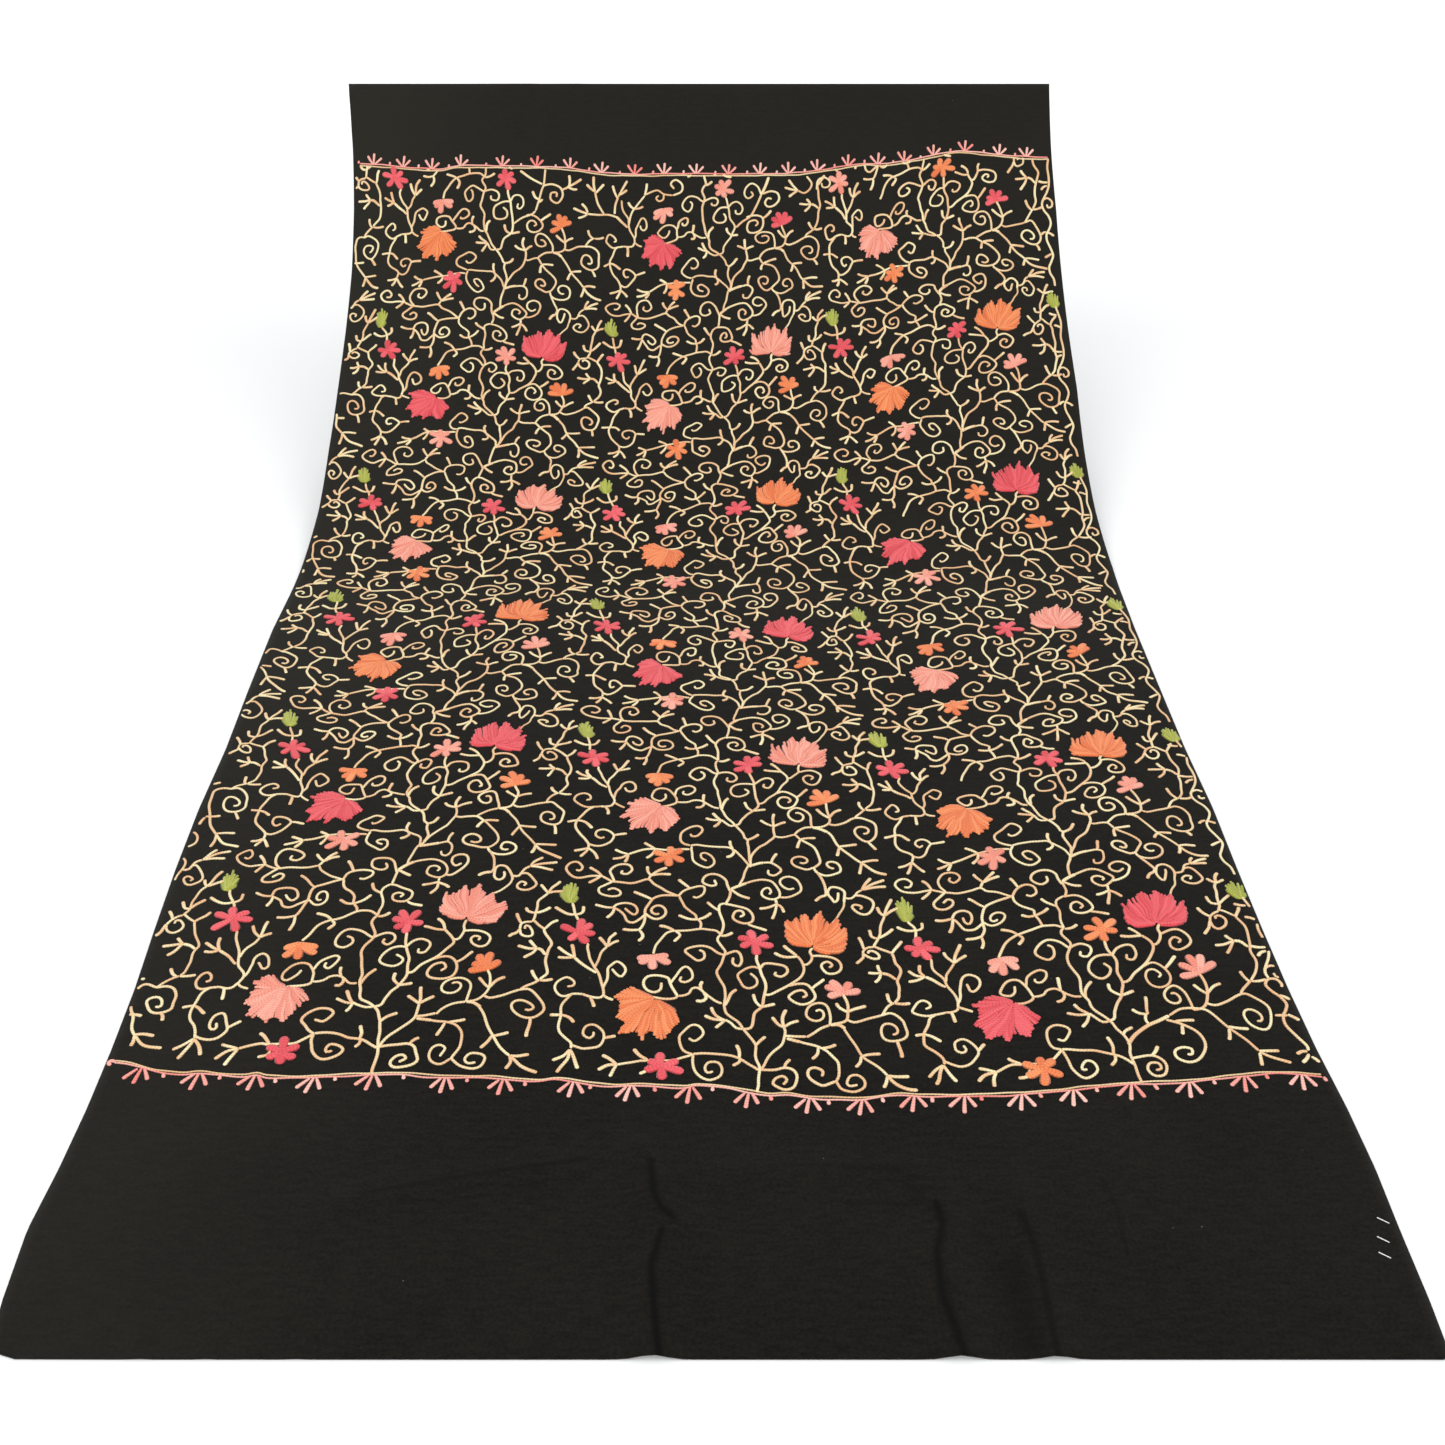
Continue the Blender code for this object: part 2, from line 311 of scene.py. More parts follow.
# places of the vine near the long edges: repeat column, chart place, then its real place in each row from
# the far end
edgePlaces = (
    (
        -1, (207.5, -20), (
            (-0.472, 1.716), (-0.474, 1.454), (-0.4705, 1.184), (-0.4795, 0.9325), (-0.475, 0.659),
            (-0.471, 0.370),
        ),
    ),
    (
        -1, (222, 55), (
            (-0.462, 1.791), (-0.459, 1.516), (-0.459, 1.251), (-0.466, 0.9975), (-0.4585, 0.725),
            (-0.459, 0.4375),
        ),
    ),
    (
        -1, (220.5, 95), (
            (-0.4685, 1.825), (-0.4625, 1.545), (-0.463, 1.280), (-0.466, 1.031), (-0.465, 0.7575),
            (-0.466, 0.476),
        ),
    ),
    (
        -1, (198, -61), (
            (-0.477, 1.6725), (-0.484, 1.405), (-0.479, 1.146), (-0.492, 0.8975), (-0.477, 0.6075),
            (-0.480, 0.330),
        ),
    ),
    (
        2, (207.5, -20), (
            (0.4615, 1.736), (0.464, 1.460), (0.463, 1.1575), (0.4568, 0.885), (0.4578, 0.615),
            (0.4575, 0.340),
        ),
    ),
)


def unitOrigin(row, column):
    # the lattice's own place of a repeat: first + pitch x (steps across, steps up from the nearest row)
    across = lattice["first"][0] + lattice["pitch"][0] * (column - 1)
    run = lattice["first"][1] + lattice["pitch"][1] * (lattice["rows"] - 1 - row)
    return np.array([across, run])


def acrossOf(motif, row, column):
    # where a motif lies across the cloth; in the farthest row some stand a little aside
    return motif["across"][column] + (motif["topShift"][column] if row == 0 and "topShift" in motif else 0)


def gatherAnchors():
    # pairs of places: where the even lattice has each motif, and where it really lies
    even, real = [], []
    for motif in motifs.values():
        for row, (*runs, threads) in enumerate(motif["rows"], start=motif["firstRow"]):
            for column, run in enumerate(runs):
                even.append(unitOrigin(row, column) + np.array(motif["middle"]) * millimetre)
                real.append((acrossOf(motif, row, column), run))
    for column, chartPlace, places in edgePlaces:
        for row, place in enumerate(places):
            even.append(unitOrigin(row, column) + np.array(chartPlace) * millimetre)
            real.append(place)
    return np.array(even), np.array(real)


def bendKernel(places, anchors):
    # thin plate: r^2 x log(r) of every distance r
    squared = ((places[:, None, :] - anchors[None, :, :]) ** 2).sum(axis=-1)
    return squared * np.log(squared + 1e-12) / 2  # the tiny term keeps the log from nought


def solveWarp(even, real):
    # thin-plate weights that take the even places to the real ones, smoothed a little, with a linear part
    count = len(even)
    plain = np.concatenate([np.ones((count, 1)), even], axis=1)
    system = np.zeros((count + 3, count + 3))
    system[:count, :count] = bendKernel(even, even) + lattice["smoothing"] * np.eye(count)
    system[:count, count:] = plain
    system[count:, :count] = plain.T
    return np.linalg.solve(system, np.concatenate([real - even, np.zeros((3, 2))]))


evenPlaces, realPlaces = gatherAnchors()
warpWeights = solveWarp(evenPlaces, realPlaces)

# the unsteadiness of the hand
handWobble = {
    # amplitude in metres, waves per metre across and along, turn
    "waves": (
        (0.0011, 17.0, 5.0, 0.3),
        (0.0009, -7.0, 21.0, 1.9),
        (0.0006, 31.0, -23.0, 4.1),
        (0.0005, 11.0, 43.0, 2.2),
    ),
    # how the wobble along the cloth differs from the one across it: times the phase, and a turn
    "stretch": 1.07, "turn": 1.0,
}
blockSize = 20000  # places that are warped at a time, to spare memory


def warpPlaces(places):
    # place + linear part + sum of weight x kernel + wobble, for an array of places (..., 2)
    flat = places.reshape(-1, 2)
    moved = flat.copy()
    for start in range(0, len(flat), blockSize):
        part = flat[start:start + blockSize]
        terms = np.concatenate([bendKernel(part, evenPlaces), np.ones((len(part), 1)), part], axis=1)
        moved[start:start + blockSize] += terms @ warpWeights
    for size, acrossWaves, alongWaves, turn in handWobble["waves"]:
        phase = 2 * math.pi * (flat[:, 0] * acrossWaves + flat[:, 1] * alongWaves) + turn
        moved[:, 0] += size * np.sin(phase)
        moved[:, 1] += size * np.cos(phase * handWobble["stretch"] + handWobble["turn"])
    return moved.reshape(places.shape)


worst = np.abs(warpPlaces(evenPlaces) - realPlaces).max()
print("pattern warp ready, worst miss", round(worst * 1000, 1), "mm over", len(evenPlaces), "motifs")


# Bands of chain stitch.

# across share from left to right over the top, then height share
sections = {
    "cord": ((1.0, 0.0), (0.72, 0.72), (0.0, 1.0), (-0.72, 0.72), (-1.0, 0.0)),
    "row": ((1.0, 0.0), (0.5, 0.95), (-0.5, 0.95), (-1.0, 0.0)),
    "loop": ((1.0, 0.0), (0.58, 1.0), (0.0, 0.62), (-0.58, 1.0), (-1.0, 0.0)),
}
seat = 0.0001  # height of a stitch's underside over the cloth
# "least" length of a band and where its ends close, in half widths; heights at its ends, as shares of its own
bandEnds = {"least": 2.2, "firstRing": 0.35, "rimHeight": 0.35, "poleHeight": 0.2}
mapPerMetre = 100.0  # the map of a band runs in hundredths of a metre
# places were read off a slanting view as if the sewing had no height: it lies this much nearer, run by run,
# in metres
readingShift = {"runs": (0.25, 1.85), "shifts": (0.0028, 0.0010)}


def smoothRoute(places, samples=8):
    # Catmull-Rom curve through the places, sampled evenly in each stretch
    places = np.asarray(places, float)
    padded = np.concatenate([[2 * places[0] - places[1]], places, [2 * places[-1] - places[-2]]])
    share = np.linspace(0.0, 1.0, samples, endpoint=False)[None, :, None]
    before, start, end, after = (padded[i:len(padded) - 3 + i, None, :] for i in range(4))
    cubic = 3 * (start - end) + after - before
    square = 2 * before - 5 * start + 4 * end - after
    curve = start + 0.5 * share * (end - before + share * (square + share * cubic))
    return np.concatenate([curve.reshape(-1, 2), places[-1:]])


def curlPlaces(last, curl, inner=3.0, perTurn=14):
    # spiral round the curl's middle: its radius runs from the stem's distance down to the inner one
    middle = np.array(curl[:2], float)
    arm = np.array(last, float) - middle
    share = np.linspace(0.0, 1.0, max(8, int(abs(curl[2]) * perTurn)))[1:]
    angle = math.atan2(arm[1], arm[0]) + 2 * math.pi * curl[2] * share
    radius = np.hypot(*arm) * (1 - share) + inner * share
    return middle + np.stack([radius * np.cos(angle), radius * np.sin(angle)], axis=1)


def restep(route, positions):
    # the route's places at the given distances along it
    reach = np.concatenate([[0.0], np.cumsum(np.hypot(*np.diff(route, axis=0).T))])
    return np.stack([np.interp(positions, reach, route[:, i]) for i in range(2)], axis=1)


def routeLength(route):
    # sum of the steps between its places
    return np.hypot(*np.diff(route, axis=0).T).sum()


def halvesOf(widths):
    # widths in millimetres as half widths in metres
    return tuple(width / 2 * millimetre for width in widths)


bandFaceStore = {}


def bandFaces(rings, width):
    # quads of a tube of closed rings, and the triangles that join its two ends to a single point each
    if (rings, width) not in bandFaceStore:
        side = np.arange(width)
        along = (1 + np.arange(rings - 1) * width)[:, None]
        here, beside = along + side[None, :], along + (side[None, :] + 1) % width
        quads = np.stack([here, beside, beside + width, here + width], axis=-1).reshape(-1, 4)
        first, last = 1, 1 + (rings - 1) * width
        startCap = np.stack([np.zeros(width, int), first + (side + 1) % width, first + side], axis=1)
        endCap = np.stack([last + side, last + (side + 1) % width, np.full(width, 1 + rings * width)], axis=1)
        bandFaceStore[rings, width] = (quads, np.concatenate([startCap, endCap]))
    return bandFaceStore[rings, width]


class Sewing:
    # gathers bands and turns them into one mesh; its points are (across, run, rise) until then
    def __init__(self):
        self.points, self.quads, self.triangles, self.maps, self.tones, self.count = [], [], [], [], [], 0

    def band(self, route, halfWidths, height, section="cord", step=0.0026, tones=0.5, lift=seat):
        # a section carried along the route, rounded off at both ends: place = route + square x share x half
        # width, height = lift + height x its share
        length = routeLength(route)
        startHalf, endHalf = halfWidths[0], halfWidths[-1]
        if length < bandEnds["least"] * (startHalf + endHalf) / 2:
            return
        steps = max(2, int(round((length - startHalf - endHalf) / step)) + 1)
        positions = np.concatenate([
            [0.0, bandEnds["firstRing"] * startHalf],
            np.linspace(startHalf, length - endHalf, steps),
            [length - bandEnds["firstRing"] * endHalf, length],
        ])
        route = restep(route, positions)
        half = np.interp(positions / length, np.linspace(0.0, 1.0, len(halfWidths)), halfWidths)
        shape = np.array(sections[section])
        forward = np.gradient(route, axis=0)
        forward /= np.maximum(np.hypot(forward[:, 0], forward[:, 1]), 1e-9)[:, None]
        square = np.stack([-forward[:, 1], forward[:, 0]], axis=1)
        toEnd = np.minimum(positions, length - positions) / half
        rounding = np.sqrt(np.clip(1.0 - (1.0 - np.clip(toEnd, 0.0, 1.0)) ** 2, 0.0, 1.0))
        spread = (half * rounding)[1:-1, None] * shape[None, :, 0]
        place = route[1:-1, None, :] + square[1:-1, None, :] * spread[..., None]
        fullness = bandEnds["rimHeight"] + (1 - bandEnds["rimHeight"]) * rounding[1:-1, None]
        rise = lift + height * fullness * shape[None, :, 1]
        rings = np.concatenate([place, rise[..., None]], axis=-1).reshape(-1, 3)
        poleRise = np.full((2, 1), lift + bandEnds["poleHeight"] * height)
        poles = np.concatenate([route[[0, -1]], poleRise], axis=1)
        quads, triangles = bandFaces(len(positions) - 2, len(shape))
        across = np.tile(shape[:, 0], len(positions) - 2)
        along = np.repeat(positions[1:-1], len(shape))
        tone = np.broadcast_to(np.asarray(tones, float), (2,)) if np.size(tones) < 3 else tones
        toneAt = np.interp(positions, np.linspace(0.0, length, len(tone)), tone)
        self.points.append(np.concatenate([poles[:1], rings, poles[1:]]))
        self.quads.append(quads + self.count)
        self.triangles.append(triangles + self.count)
        self.maps.append(np.stack([
            np.concatenate([[0.0], along, [length]]) * mapPerMetre,
            np.concatenate([[0.0], across, [0.0]]) * 0.5 + 0.5,
        ], axis=1))
        self.tones.append(np.concatenate([toneAt[:1], np.repeat(toneAt[1:-1], len(shape)), toneAt[-1:]]))
        self.count += len(rings) + 2

    def piece(self, name):
        # all bands as one mesh: point = cloth(across, run, wall + rise)
        flat = np.concatenate(self.points)
        runs = flat[:, 1] - np.interp(flat[:, 1], readingShift["runs"], readingShift["shifts"])
        points = onCloth(flat[:, 0], runs, cloth["wall"] + flat[:, 2])
        made = makeMesh(
            name, points, np.concatenate(self.quads), np.concatenate(self.triangles),
            np.concatenate(self.maps), np.concatenate(self.tones),
        )
        triangles = sum(len(polygon.vertices) - 2 for polygon in made.data.polygons)
        print(name, "made with", triangles, "triangles")
        return made


# The vine.

# millimetres of width at the start and the end of a stroke, and how closely it is stepped
strokes = {
    "thin": (2.1, 2.2, 2.8), "stem": (2.8, 2.8, 2.6), "curl": (2.8, 2.7, 1.8),
    "thick": (3.8, 3.8, 2.8), "twig": (2.9, 3.7, 2.8),
}
# height in millimetres; lengths and runs in metres; least and most that chance makes of a width or a height;
# "forkBow" is how far a fork's prong bends aside, as a share of its length
vine = {
    "height": 1.0, "heightChance": (0.93, 1.07), "widthChance": (0.92, 1.08),
    "edgeMargin": 0.003, "farWidening": 0.16, "wideningStart": 0.9, "wideningReach": 0.9,
    "toneLength": 0.075, "toneSpread": 1.3, "forkBow": 0.06,
}

# One repeat, charted. A place with a third number is a curl: its middle, and its turns (+ is to the left).
vineChart = (
    # left of the hanging lotus
    (
        "stem", (-51, 88), (-51, 78), (-48, 67), (-44, 58), (-42.5, 50), (-40.5, 41), (-36.5, 32),
        (-34, 25), (-34, 17),
    ),
    ("stem", (-34, 17), (-30, 13.5), (-24, 11)),
    ("stem", (-32, 82), (-36, 73), (-40, 62), (-42.5, 53)),
    ("twig", (-43, 44), (-48, 49), (-54, 55), (-60, 61)),
    (
        "curl", (-34, 25), (-32, 34), (-31.5, 43), (-29.5, 54), (-23, 62), (-17, 57), (-15.5, 48),
        (-19, 41), (-23, 43), (-26.5, 50),
    ),
    ("stem", (-34, 18), (-37, 12.5), (-43, 11), (-50, 11.5)),
    (
        "curl", (-49, 11.5), (-57, 8.5), (-64, 4.5), (-70, 5.5), (-74.5, 12), (-72, 21), (-66, 27.5),
        (-60.5, 25), (-59.5, 19), (-64, 16),
    ),
    ("twig", (-44, 12), (-42.5, 4), (-42, -4)),
    (
        "stem", (-57, 9), (-62, 2), (-66, -7), (-68.5, -16), (-69.5, -30), (-67, -38), (-61, -44),
        (-57, -50), (-57, -57),
    ),
    ("twig", (-68.5, -19.5), (-79, -23.5)),
    ("twig", (-68.5, -19.5), (-62, -21), (-55, -27)),
    (
        "curl", (-57, -50), (-52, -52), (-46.5, -51), (-41, -46.5), (-37, -40), (-34.5, -34),
        (-38, -29), (-44, -26.5), (-50, -29), (-51.5, -35), (-48, -39.5), (-43.5, -37),
    ),
    ("twig", (-34.5, -34), (-28, -32.5), (-20, -32)),
    # under the hanging lotus
    ("stem", (40, -58.5), (34, -58), (26, -57.5), (8, -57), (0, -58), (-8, -60), (-17, -62)),
    ("twig", (8, -57), (4, -52.5), (-2, -46.5)),
    ("twig", (8, -57.5), (5, -64.5), (0, -69.5)),
    (
        "curl", (42, -53), (36, -50), (31.5, -43), (32, -34), (38, -27), (46, -21), (52, -25),
        (54, -31), (49.5, -38), (44.5, -39), (43, -35),
    ),
    (
        "curl", (43, -54), (41, -61), (41.5, -70), (46, -78), (53, -83), (59, -84), (64, -78.5),
        (62, -71), (56, -66), (51, -67.5), (53, -73.5), (58, -76.5),
    ),
    (
        "stem", (42, -53), (48, -51.5), (56, -53), (65, -54.5), (74, -54.5), (79, -58), (84, -63),
        (90, -70), (93, -79),
    ),
    ("twig", (78, -57), (76, -50), (77, -43)),
    ("twig", (78, -57), (80, -62), (77, -67), (73, -68)),
    # between the lotus and the trunk
    ("stem", (9, 17), (18, 16.5), (26, 18), (28.5, 22)),
    (
        "curl", (28, 21), (26, 30), (23, 38), (19, 44.5), (11, 47), (4, 44), (1, 36), (3.5, 29),
        (9, 25.5), (14, 30), (15, 38),
    ),
    (
        "curl", (24, 36), (27.5, 46), (32, 52), (38, 54.5), (43, 50.5), (43, 43), (38, 38), (33, 40),
        (33.5, 44.5),
    ),
    (
        "stem", (28.5, 21), (33, 20.5), (38, 22), (41, 26.5), (46, 27.5), (50, 25), (57, 17), (62, 12),
        (67.5, 10),
    ),
    ("twig", (50.5, 24), (50, 31), (51, 38)),
    ("twig", (52, 23), (54, 17), (51.5, 12.5), (46, 13)),
    (
        "stem", (68, 98), (65, 95), (64, 90), (66.5, 83), (69, 76), (67.5, 70), (65, 62), (63, 52),
        (65, 42), (67.5, 31), (68.5, 20), (69, 11), (71, 4), (72, -3), (75, -10), (80, -16),
        (84, -21.5),
    ),
    ("twig", (70, 8), (73, 20), (78, 26)),
    ("stem", (84, -21.5), (78, -21), (73, -16), (69, -11)),
    (
        "stem", (84, -21.5), (89, -20), (91, -12), (94, -4), (100, 2.5), (103.5, 11), (105, 18),
        (104, 29), (102.5, 41), (101, 51), (99.5, 60), (99, 70),
    ),
    ("twig", (100, 3), (95, 10), (94, 19)),
    ("twig", (100, 3), (106, 4), (112, 5)),
    (
        "stem", (84, -21.5), (87, -26), (90, -33), (91, -40), (93.5, -43), (93, -50), (95, -58),
        (96.5, -66), (95, -75),
    ),
    ("twig", (93, -43.5), (100, -40), (105, -33)),
    (
        "curl", (100.5, 51), (95, 53), (88, 52), (81, 46), (79.5, 38), (83, 30), (90, 27), (96, 30),
        (97, 37), (92, 44),
    ),
    (
        "curl", (101, 51), (106, 57.5), (113, 58.5), (119.5, 54), (121, 46), (117, 39.5), (112, 41.5),
        (112.5, 46.5),
    ),
    # right of the trunk, below
    (
        "stem", (93.5, -82), (97, -70), (101, -62), (106, -54), (112, -48), (116, -41), (119, -34),
        (119.5, -28), (119.5, -21),
    ),
    ("thick", (94, -80), (102, -77), (110, -75)),
    ("curl", (109, -75.5), (117, -74), (122, -78.5), (122.5, -87), (118, -93.5), (112.5, -92), (112, -86.5)),
    ("twig", (117, -74), (119.5, -66), (122, -60)),
    ("stem", (119, -34.5), (124, -35.5), (130, -34), (137, -33), (141, -37), (143.5, -39.5)),
    ("stem", (137, -33), (141, -28), (148, -22.5), (157, -19.5)),
    ("twig", (143.5, -39.5), (151, -37), (160, -35.5)),
    ("twig", (143.5, -39.5), (141.5, -45), (140.5, -51)),
    ("stem", (143.5, -39.5), (151, -44), (157, -49), (161, -56), (161.5, -64), (158, -71), (153, -77)),
    ("curl", (154, -76), (147, -79.5), (140, -78), (141.5, -68, -1.1)),
    ("curl", (153, -77), (156, -82.5), (163, -85.5), (171, -83.5), (178, -78), (171.5, -71, 1.0)),
    ("curl", (157, -19.5), (157.5, -12), (157, -5), (144.5, -5.5, 1.35)),
    ("thick", (157, -19.5), (164, -20), (170, -24)),
    ("stem", (169, -23), (176, -32), (181.5, -41), (187, -49), (193, -56), (198, -61)),
    ("twig", (182, -41), (190, -39.5), (198, -38)),
    ("twig", (182, -42), (179.5, -48), (177, -54)),
    ("twig", (198, -60), (207, -57.5), (217, -56.5)),
    ("twig", (198, -61), (197.5, -68), (196, -75)),
    ("twig", (198, -61), (204, -67), (212, -70.5), (225, -72)),
    ("stem", (157, -19.5), (166, -17), (171.5, -12.5), (174, -6), (174.5, 2), (173, 10), (170, 18)),
    ("stem", (172, -12), (178, -13.5), (186, -10), (194, -5), (202, -0.5)),
    ("curl", (201, -1), (209, 2), (216, -1), (221, -8), (221.5, -17), (207.5, -20, -1.3)),
    ("twig", (212, -30.5), (215, -35), (217, -41)),
    ("stem", (202, -0.5), (206, 6), (211, 12), (216, 17)),
    ("twig", (214, 15), (210, 20), (208, 27)),
    ("twig", (216, 16), (223, 17.5), (230, 21)),
    # right of the trunk, above
    (
        "curl", (124, 29.5), (131, 31.5), (138, 30), (143, 24), (144.5, 15), (140.5, 7.5), (133, 5),
        (126, 8), (123.5, 15), (127.5, 22), (134, 23), (137, 17.5), (133.5, 14),
    ),
    ("twig", (143, 24), (150, 31), (156, 38)),
    (
        "stem", (105, 17), (110, 18), (116, 24), (124, 30), (129, 35), (134, 42), (137, 50), (136, 58),
        (131.5, 67),
    ),
    ("stem", (136.5, 54), (141, 55), (145, 60.5), (147, 67), (146.5, 73), (149, 79)),
    (
        "curl", (147, 66.5), (155, 68.5), (163, 67.5), (169, 62.5), (170.5, 55), (167, 48), (160, 45),
        (154.5, 48.5), (153.5, 55), (158, 59.5), (162.5, 56.5), (160, 52.5),
    ),
    ("twig", (131.5, 67), (127, 75), (121, 81.5)),
    ("twig", (132, 66), (122, 68), (112.5, 72.5)),
    ("stem", (216, 17), (221, 26), (223, 38), (223, 50), (225, 60), (226, 70), (223, 82), (220.5, 95)),
    ("twig", (222.5, 54), (217, 59.5), (211, 60)),
    ("twig", (220.5, 94), (225, 104), (230, 114)),
    ("stem", (220.5, 95), (215, 98), (209, 101.5), (207, 101)),
    ("stem", (207, 100), (202, 97), (197, 91), (195, 83)),
    (
        "curl", (195, 84), (197, 77), (202, 75), (208, 79.5), (209.5, 87), (206, 92.5), (201.5, 91),
        (201, 86.5),
    ),
    ("twig", (197, 92), (194, 98), (190.5, 105)),
    ("twig", (195, 84), (192.5, 76), (189, 71), (184.5, 64.5)),
    ("stem", (207, 100), (209.5, 113), (210.5, 125), (212, 137), (216.5, 149)),
    ("twig", (209.5, 113), (203, 113), (200.5, 121.5)),
    ("twig", (210, 114), (216, 122), (222, 131)),
    ("thin", (162, 112), (167, 122), (174, 134), (179, 145), (180.5, 155)),
    (
        "curl", (180.5, 154), (181, 163), (180, 170), (175.5, 174), (169, 172.5), (165, 165),
        (165, 156), (168.5, 149), (172, 152.5), (174, 160), (174.5, 166),
    ),
    ("stem", (155, 191), (161, 181), (163.5, 173), (163.5, 165), (161, 158)),
    ("thick", (162, 160), (156, 156), (151.5, 149)),
    ("stem", (181, 160.5), (187, 162.5), (190.5, 168.5), (193, 174), (198, 179)),
    (
        "curl", (190.5, 168), (196, 170), (202, 165.5), (205.5, 158), (203.5, 150), (198, 144.5),
        (191.5, 144.5), (187.5, 150), (190.5, 155.5), (196, 154.5), (194.5, 150),
    ),
    # above the hanging lotus
    (
        "stem", (68, 98), (62, 104), (55, 106), (48, 106.5), (38, 104), (30, 103.5), (24, 103),
        (17, 99), (11, 90), (6, 77),
    ),
    ("twig", (26, 104), (20, 109), (12, 113)),
    ("twig", (27, 103), (31, 97), (26, 90)),
    ("twig", (68, 96.5), (74, 97), (80, 100.5)),
    (
        "curl", (67.5, 71), (63, 75), (56.5, 82), (49, 86), (41.5, 84), (36.5, 77.5), (39, 69.5),
        (45.5, 63.5), (51, 67), (51, 75), (47, 79.5),
    ),
    ("curl", (67.5, 71), (72, 73), (79, 74), (85, 70), (86.5, 63), (82.5, 57), (77, 60.5), (77.5, 66)),
    ("stem", (68, 98), (69, 109), (68, 119), (66, 128), (67.5, 135), (73, 138.5)),
    ("twig", (66, 128), (60, 134), (56, 142)),
    (
        "curl", (72, 138.5), (81, 136.5), (89, 131), (95, 123.5), (96, 116), (91, 112.5), (83, 114),
        (78.5, 119), (79.5, 126), (84.5, 127), (88, 122), (85, 119),
    ),
    ("twig", (93, 112), (100, 107), (108, 102.5)),
    ("stem", (75, 139), (77.5, 146), (78, 152), (78, 157)),
    (
        "curl", (77.5, 154), (74.5, 163), (72.5, 170), (67, 175.5), (59, 177), (53, 174), (51, 167.5),
        (54, 162.5), (60, 160), (65, 162.5), (63.5, 169),
    ),
    ("twig", (78, 157), (85, 151), (93, 147)),
    ("thick", (78, 157), (83, 161), (91, 166)),
    (
        "curl", (90, 165.5), (98, 169), (106, 171), (114, 169), (120, 163), (123, 156), (121, 149),
        (115, 144.5), (108.5, 145.5), (104.5, 150.5), (106, 158), (111.5, 160), (115, 156),
        (112.5, 152),
    ),
    (
        "curl", (121, 149), (127, 149), (133, 152.5), (139, 160), (141.5, 169), (138, 177),
        (131, 178.5), (125, 174), (125, 167), (130.5, 162.5), (136, 166),
    ),
    ("stem", (116, 145), (116, 137)),
    ("stem", (85, 163), (86, 172), (88, 181), (91, 189), (94, 195)),
    ("stem", (48, 106.5), (47, 114), (44, 121), (44, 127), (40, 132), (35, 137), (31, 145), (29.5, 151)),
    ("twig", (45, 119.5), (38, 121), (31, 126)),
    ("twig", (45, 119.5), (52, 122), (58, 127)),
    (
        "curl", (29, 151), (32, 157), (38, 160.5), (46, 161.5), (52.5, 158), (52.5, 151), (46.5, 147),
        (42, 149),
    ),
    ("twig", (37, 160.5), (33, 168), (30, 173.5)),
    (
        "stem", (30, 151.5), (18, 150.5), (10, 149), (5, 147), (2, 142), (0, 135), (0, 128), (-1, 120),
        (-4, 113), (-7, 109),
    ),
    ("twig", (4, 147), (-3, 154), (-11, 161)),
    ("twig", (-6, 110), (-13, 109), (-20, 110.5)),
    ("twig", (-6, 110), (-5, 101), (-8, 93)),
    ("curl", (-0.5, 130), (4, 125.5), (12, 131.5, 1.25)),
    ("curl", (0, 128), (-5, 124), (-11, 120.5), (-17, 123), (-21, 130), (-26, 136), (-30, 140)),
    ("curl", (-30, 140), (-27, 146), (-20, 147), (-12, 143), (-9, 135), (-12, 130), (-17, 134), (-20, 139)),
    ("twig", (-30, 140), (-37, 141), (-45, 144)),
    ("twig", (-29, 139), (-30, 131), (-33, 124.5)),
    (
        "stem", (28, 151), (20, 156), (14, 162), (8, 167), (4, 172), (-5, 171), (-15, 171),
        (-25, 172.5), (-33, 174), (-38, 177), (-44, 180.5),
    ),
    ("stem", (4, 172), (7, 178)),
    (
        "curl", (-43, 180.5), (-52, 180), (-62, 178.5), (-72, 181), (-77, 187.5), (-72.5, 194),
        (-65, 196.5), (-60.5, 192), (-63.5, 187), (-68, 187.5),
    ),
    ("twig", (-44, 180.5), (-48, 187), (-53, 192.5)),
    ("twig", (-45, 180), (-49, 175.5), (-54, 171)),
    (
        "curl", (-31, 174), (-35, 181), (-36.5, 189), (-32, 195.5), (-25, 197.5), (-17.5, 194.5),
        (-14, 187.5), (-19.5, 182.5), (-25.5, 185.5), (-24, 189.5),
    ),
    (
        "curl", (-32, 174), (-38, 169.5), (-43, 164.5), (-41, 158), (-33.5, 155.5), (-26, 157.5),
        (-24.5, 162.5), (-30, 165.5), (-35, 162.5),
    ),
    ("stem", (-68, 145), (-66, 138), (-63.5, 130), (-61, 120)),
    ("twig", (-63.5, 129), (-70, 128), (-77, 131), (-82, 134)),
    ("twig", (-62.5, 129), (-57, 133), (-56, 142)),
)

# Forks of twigs: where they part, then their tips.
forkChart = (
    ((-57, -57), (-71, -62), (-63, -69), (-47, -69)),
    ((-17, -62), (-31, -55.5), (-34, -68), (-23, -72)),
    ((69, -12), (60, 4.5), (53.5, -5), (62, -22.5)),
    ((119.5, -21), (107.5, -11.5), (119.5, -2), (131.5, -14)),
    ((174, -3), (163, 7), (188, 9)),
    ((211, 60), (205, 68.5), (194, 54), (201, 42)),
    ((216.5, 149), (209, 157.5), (223.5, 170), (229, 159)),
    ((198, 179), (207, 194), (221, 193.5), (219, 184)),
    ((116, 137), (101, 132), (112, 117), (126, 126)),
    ((7, 177), (0, 190), (19, 187), (23, 180)),
    ((-32, 82), (-39, 99), (-25, 106), (-22, 91)),
    ((-60, 61), (-74, 55), (-75, 69), (-64, 79)),
)

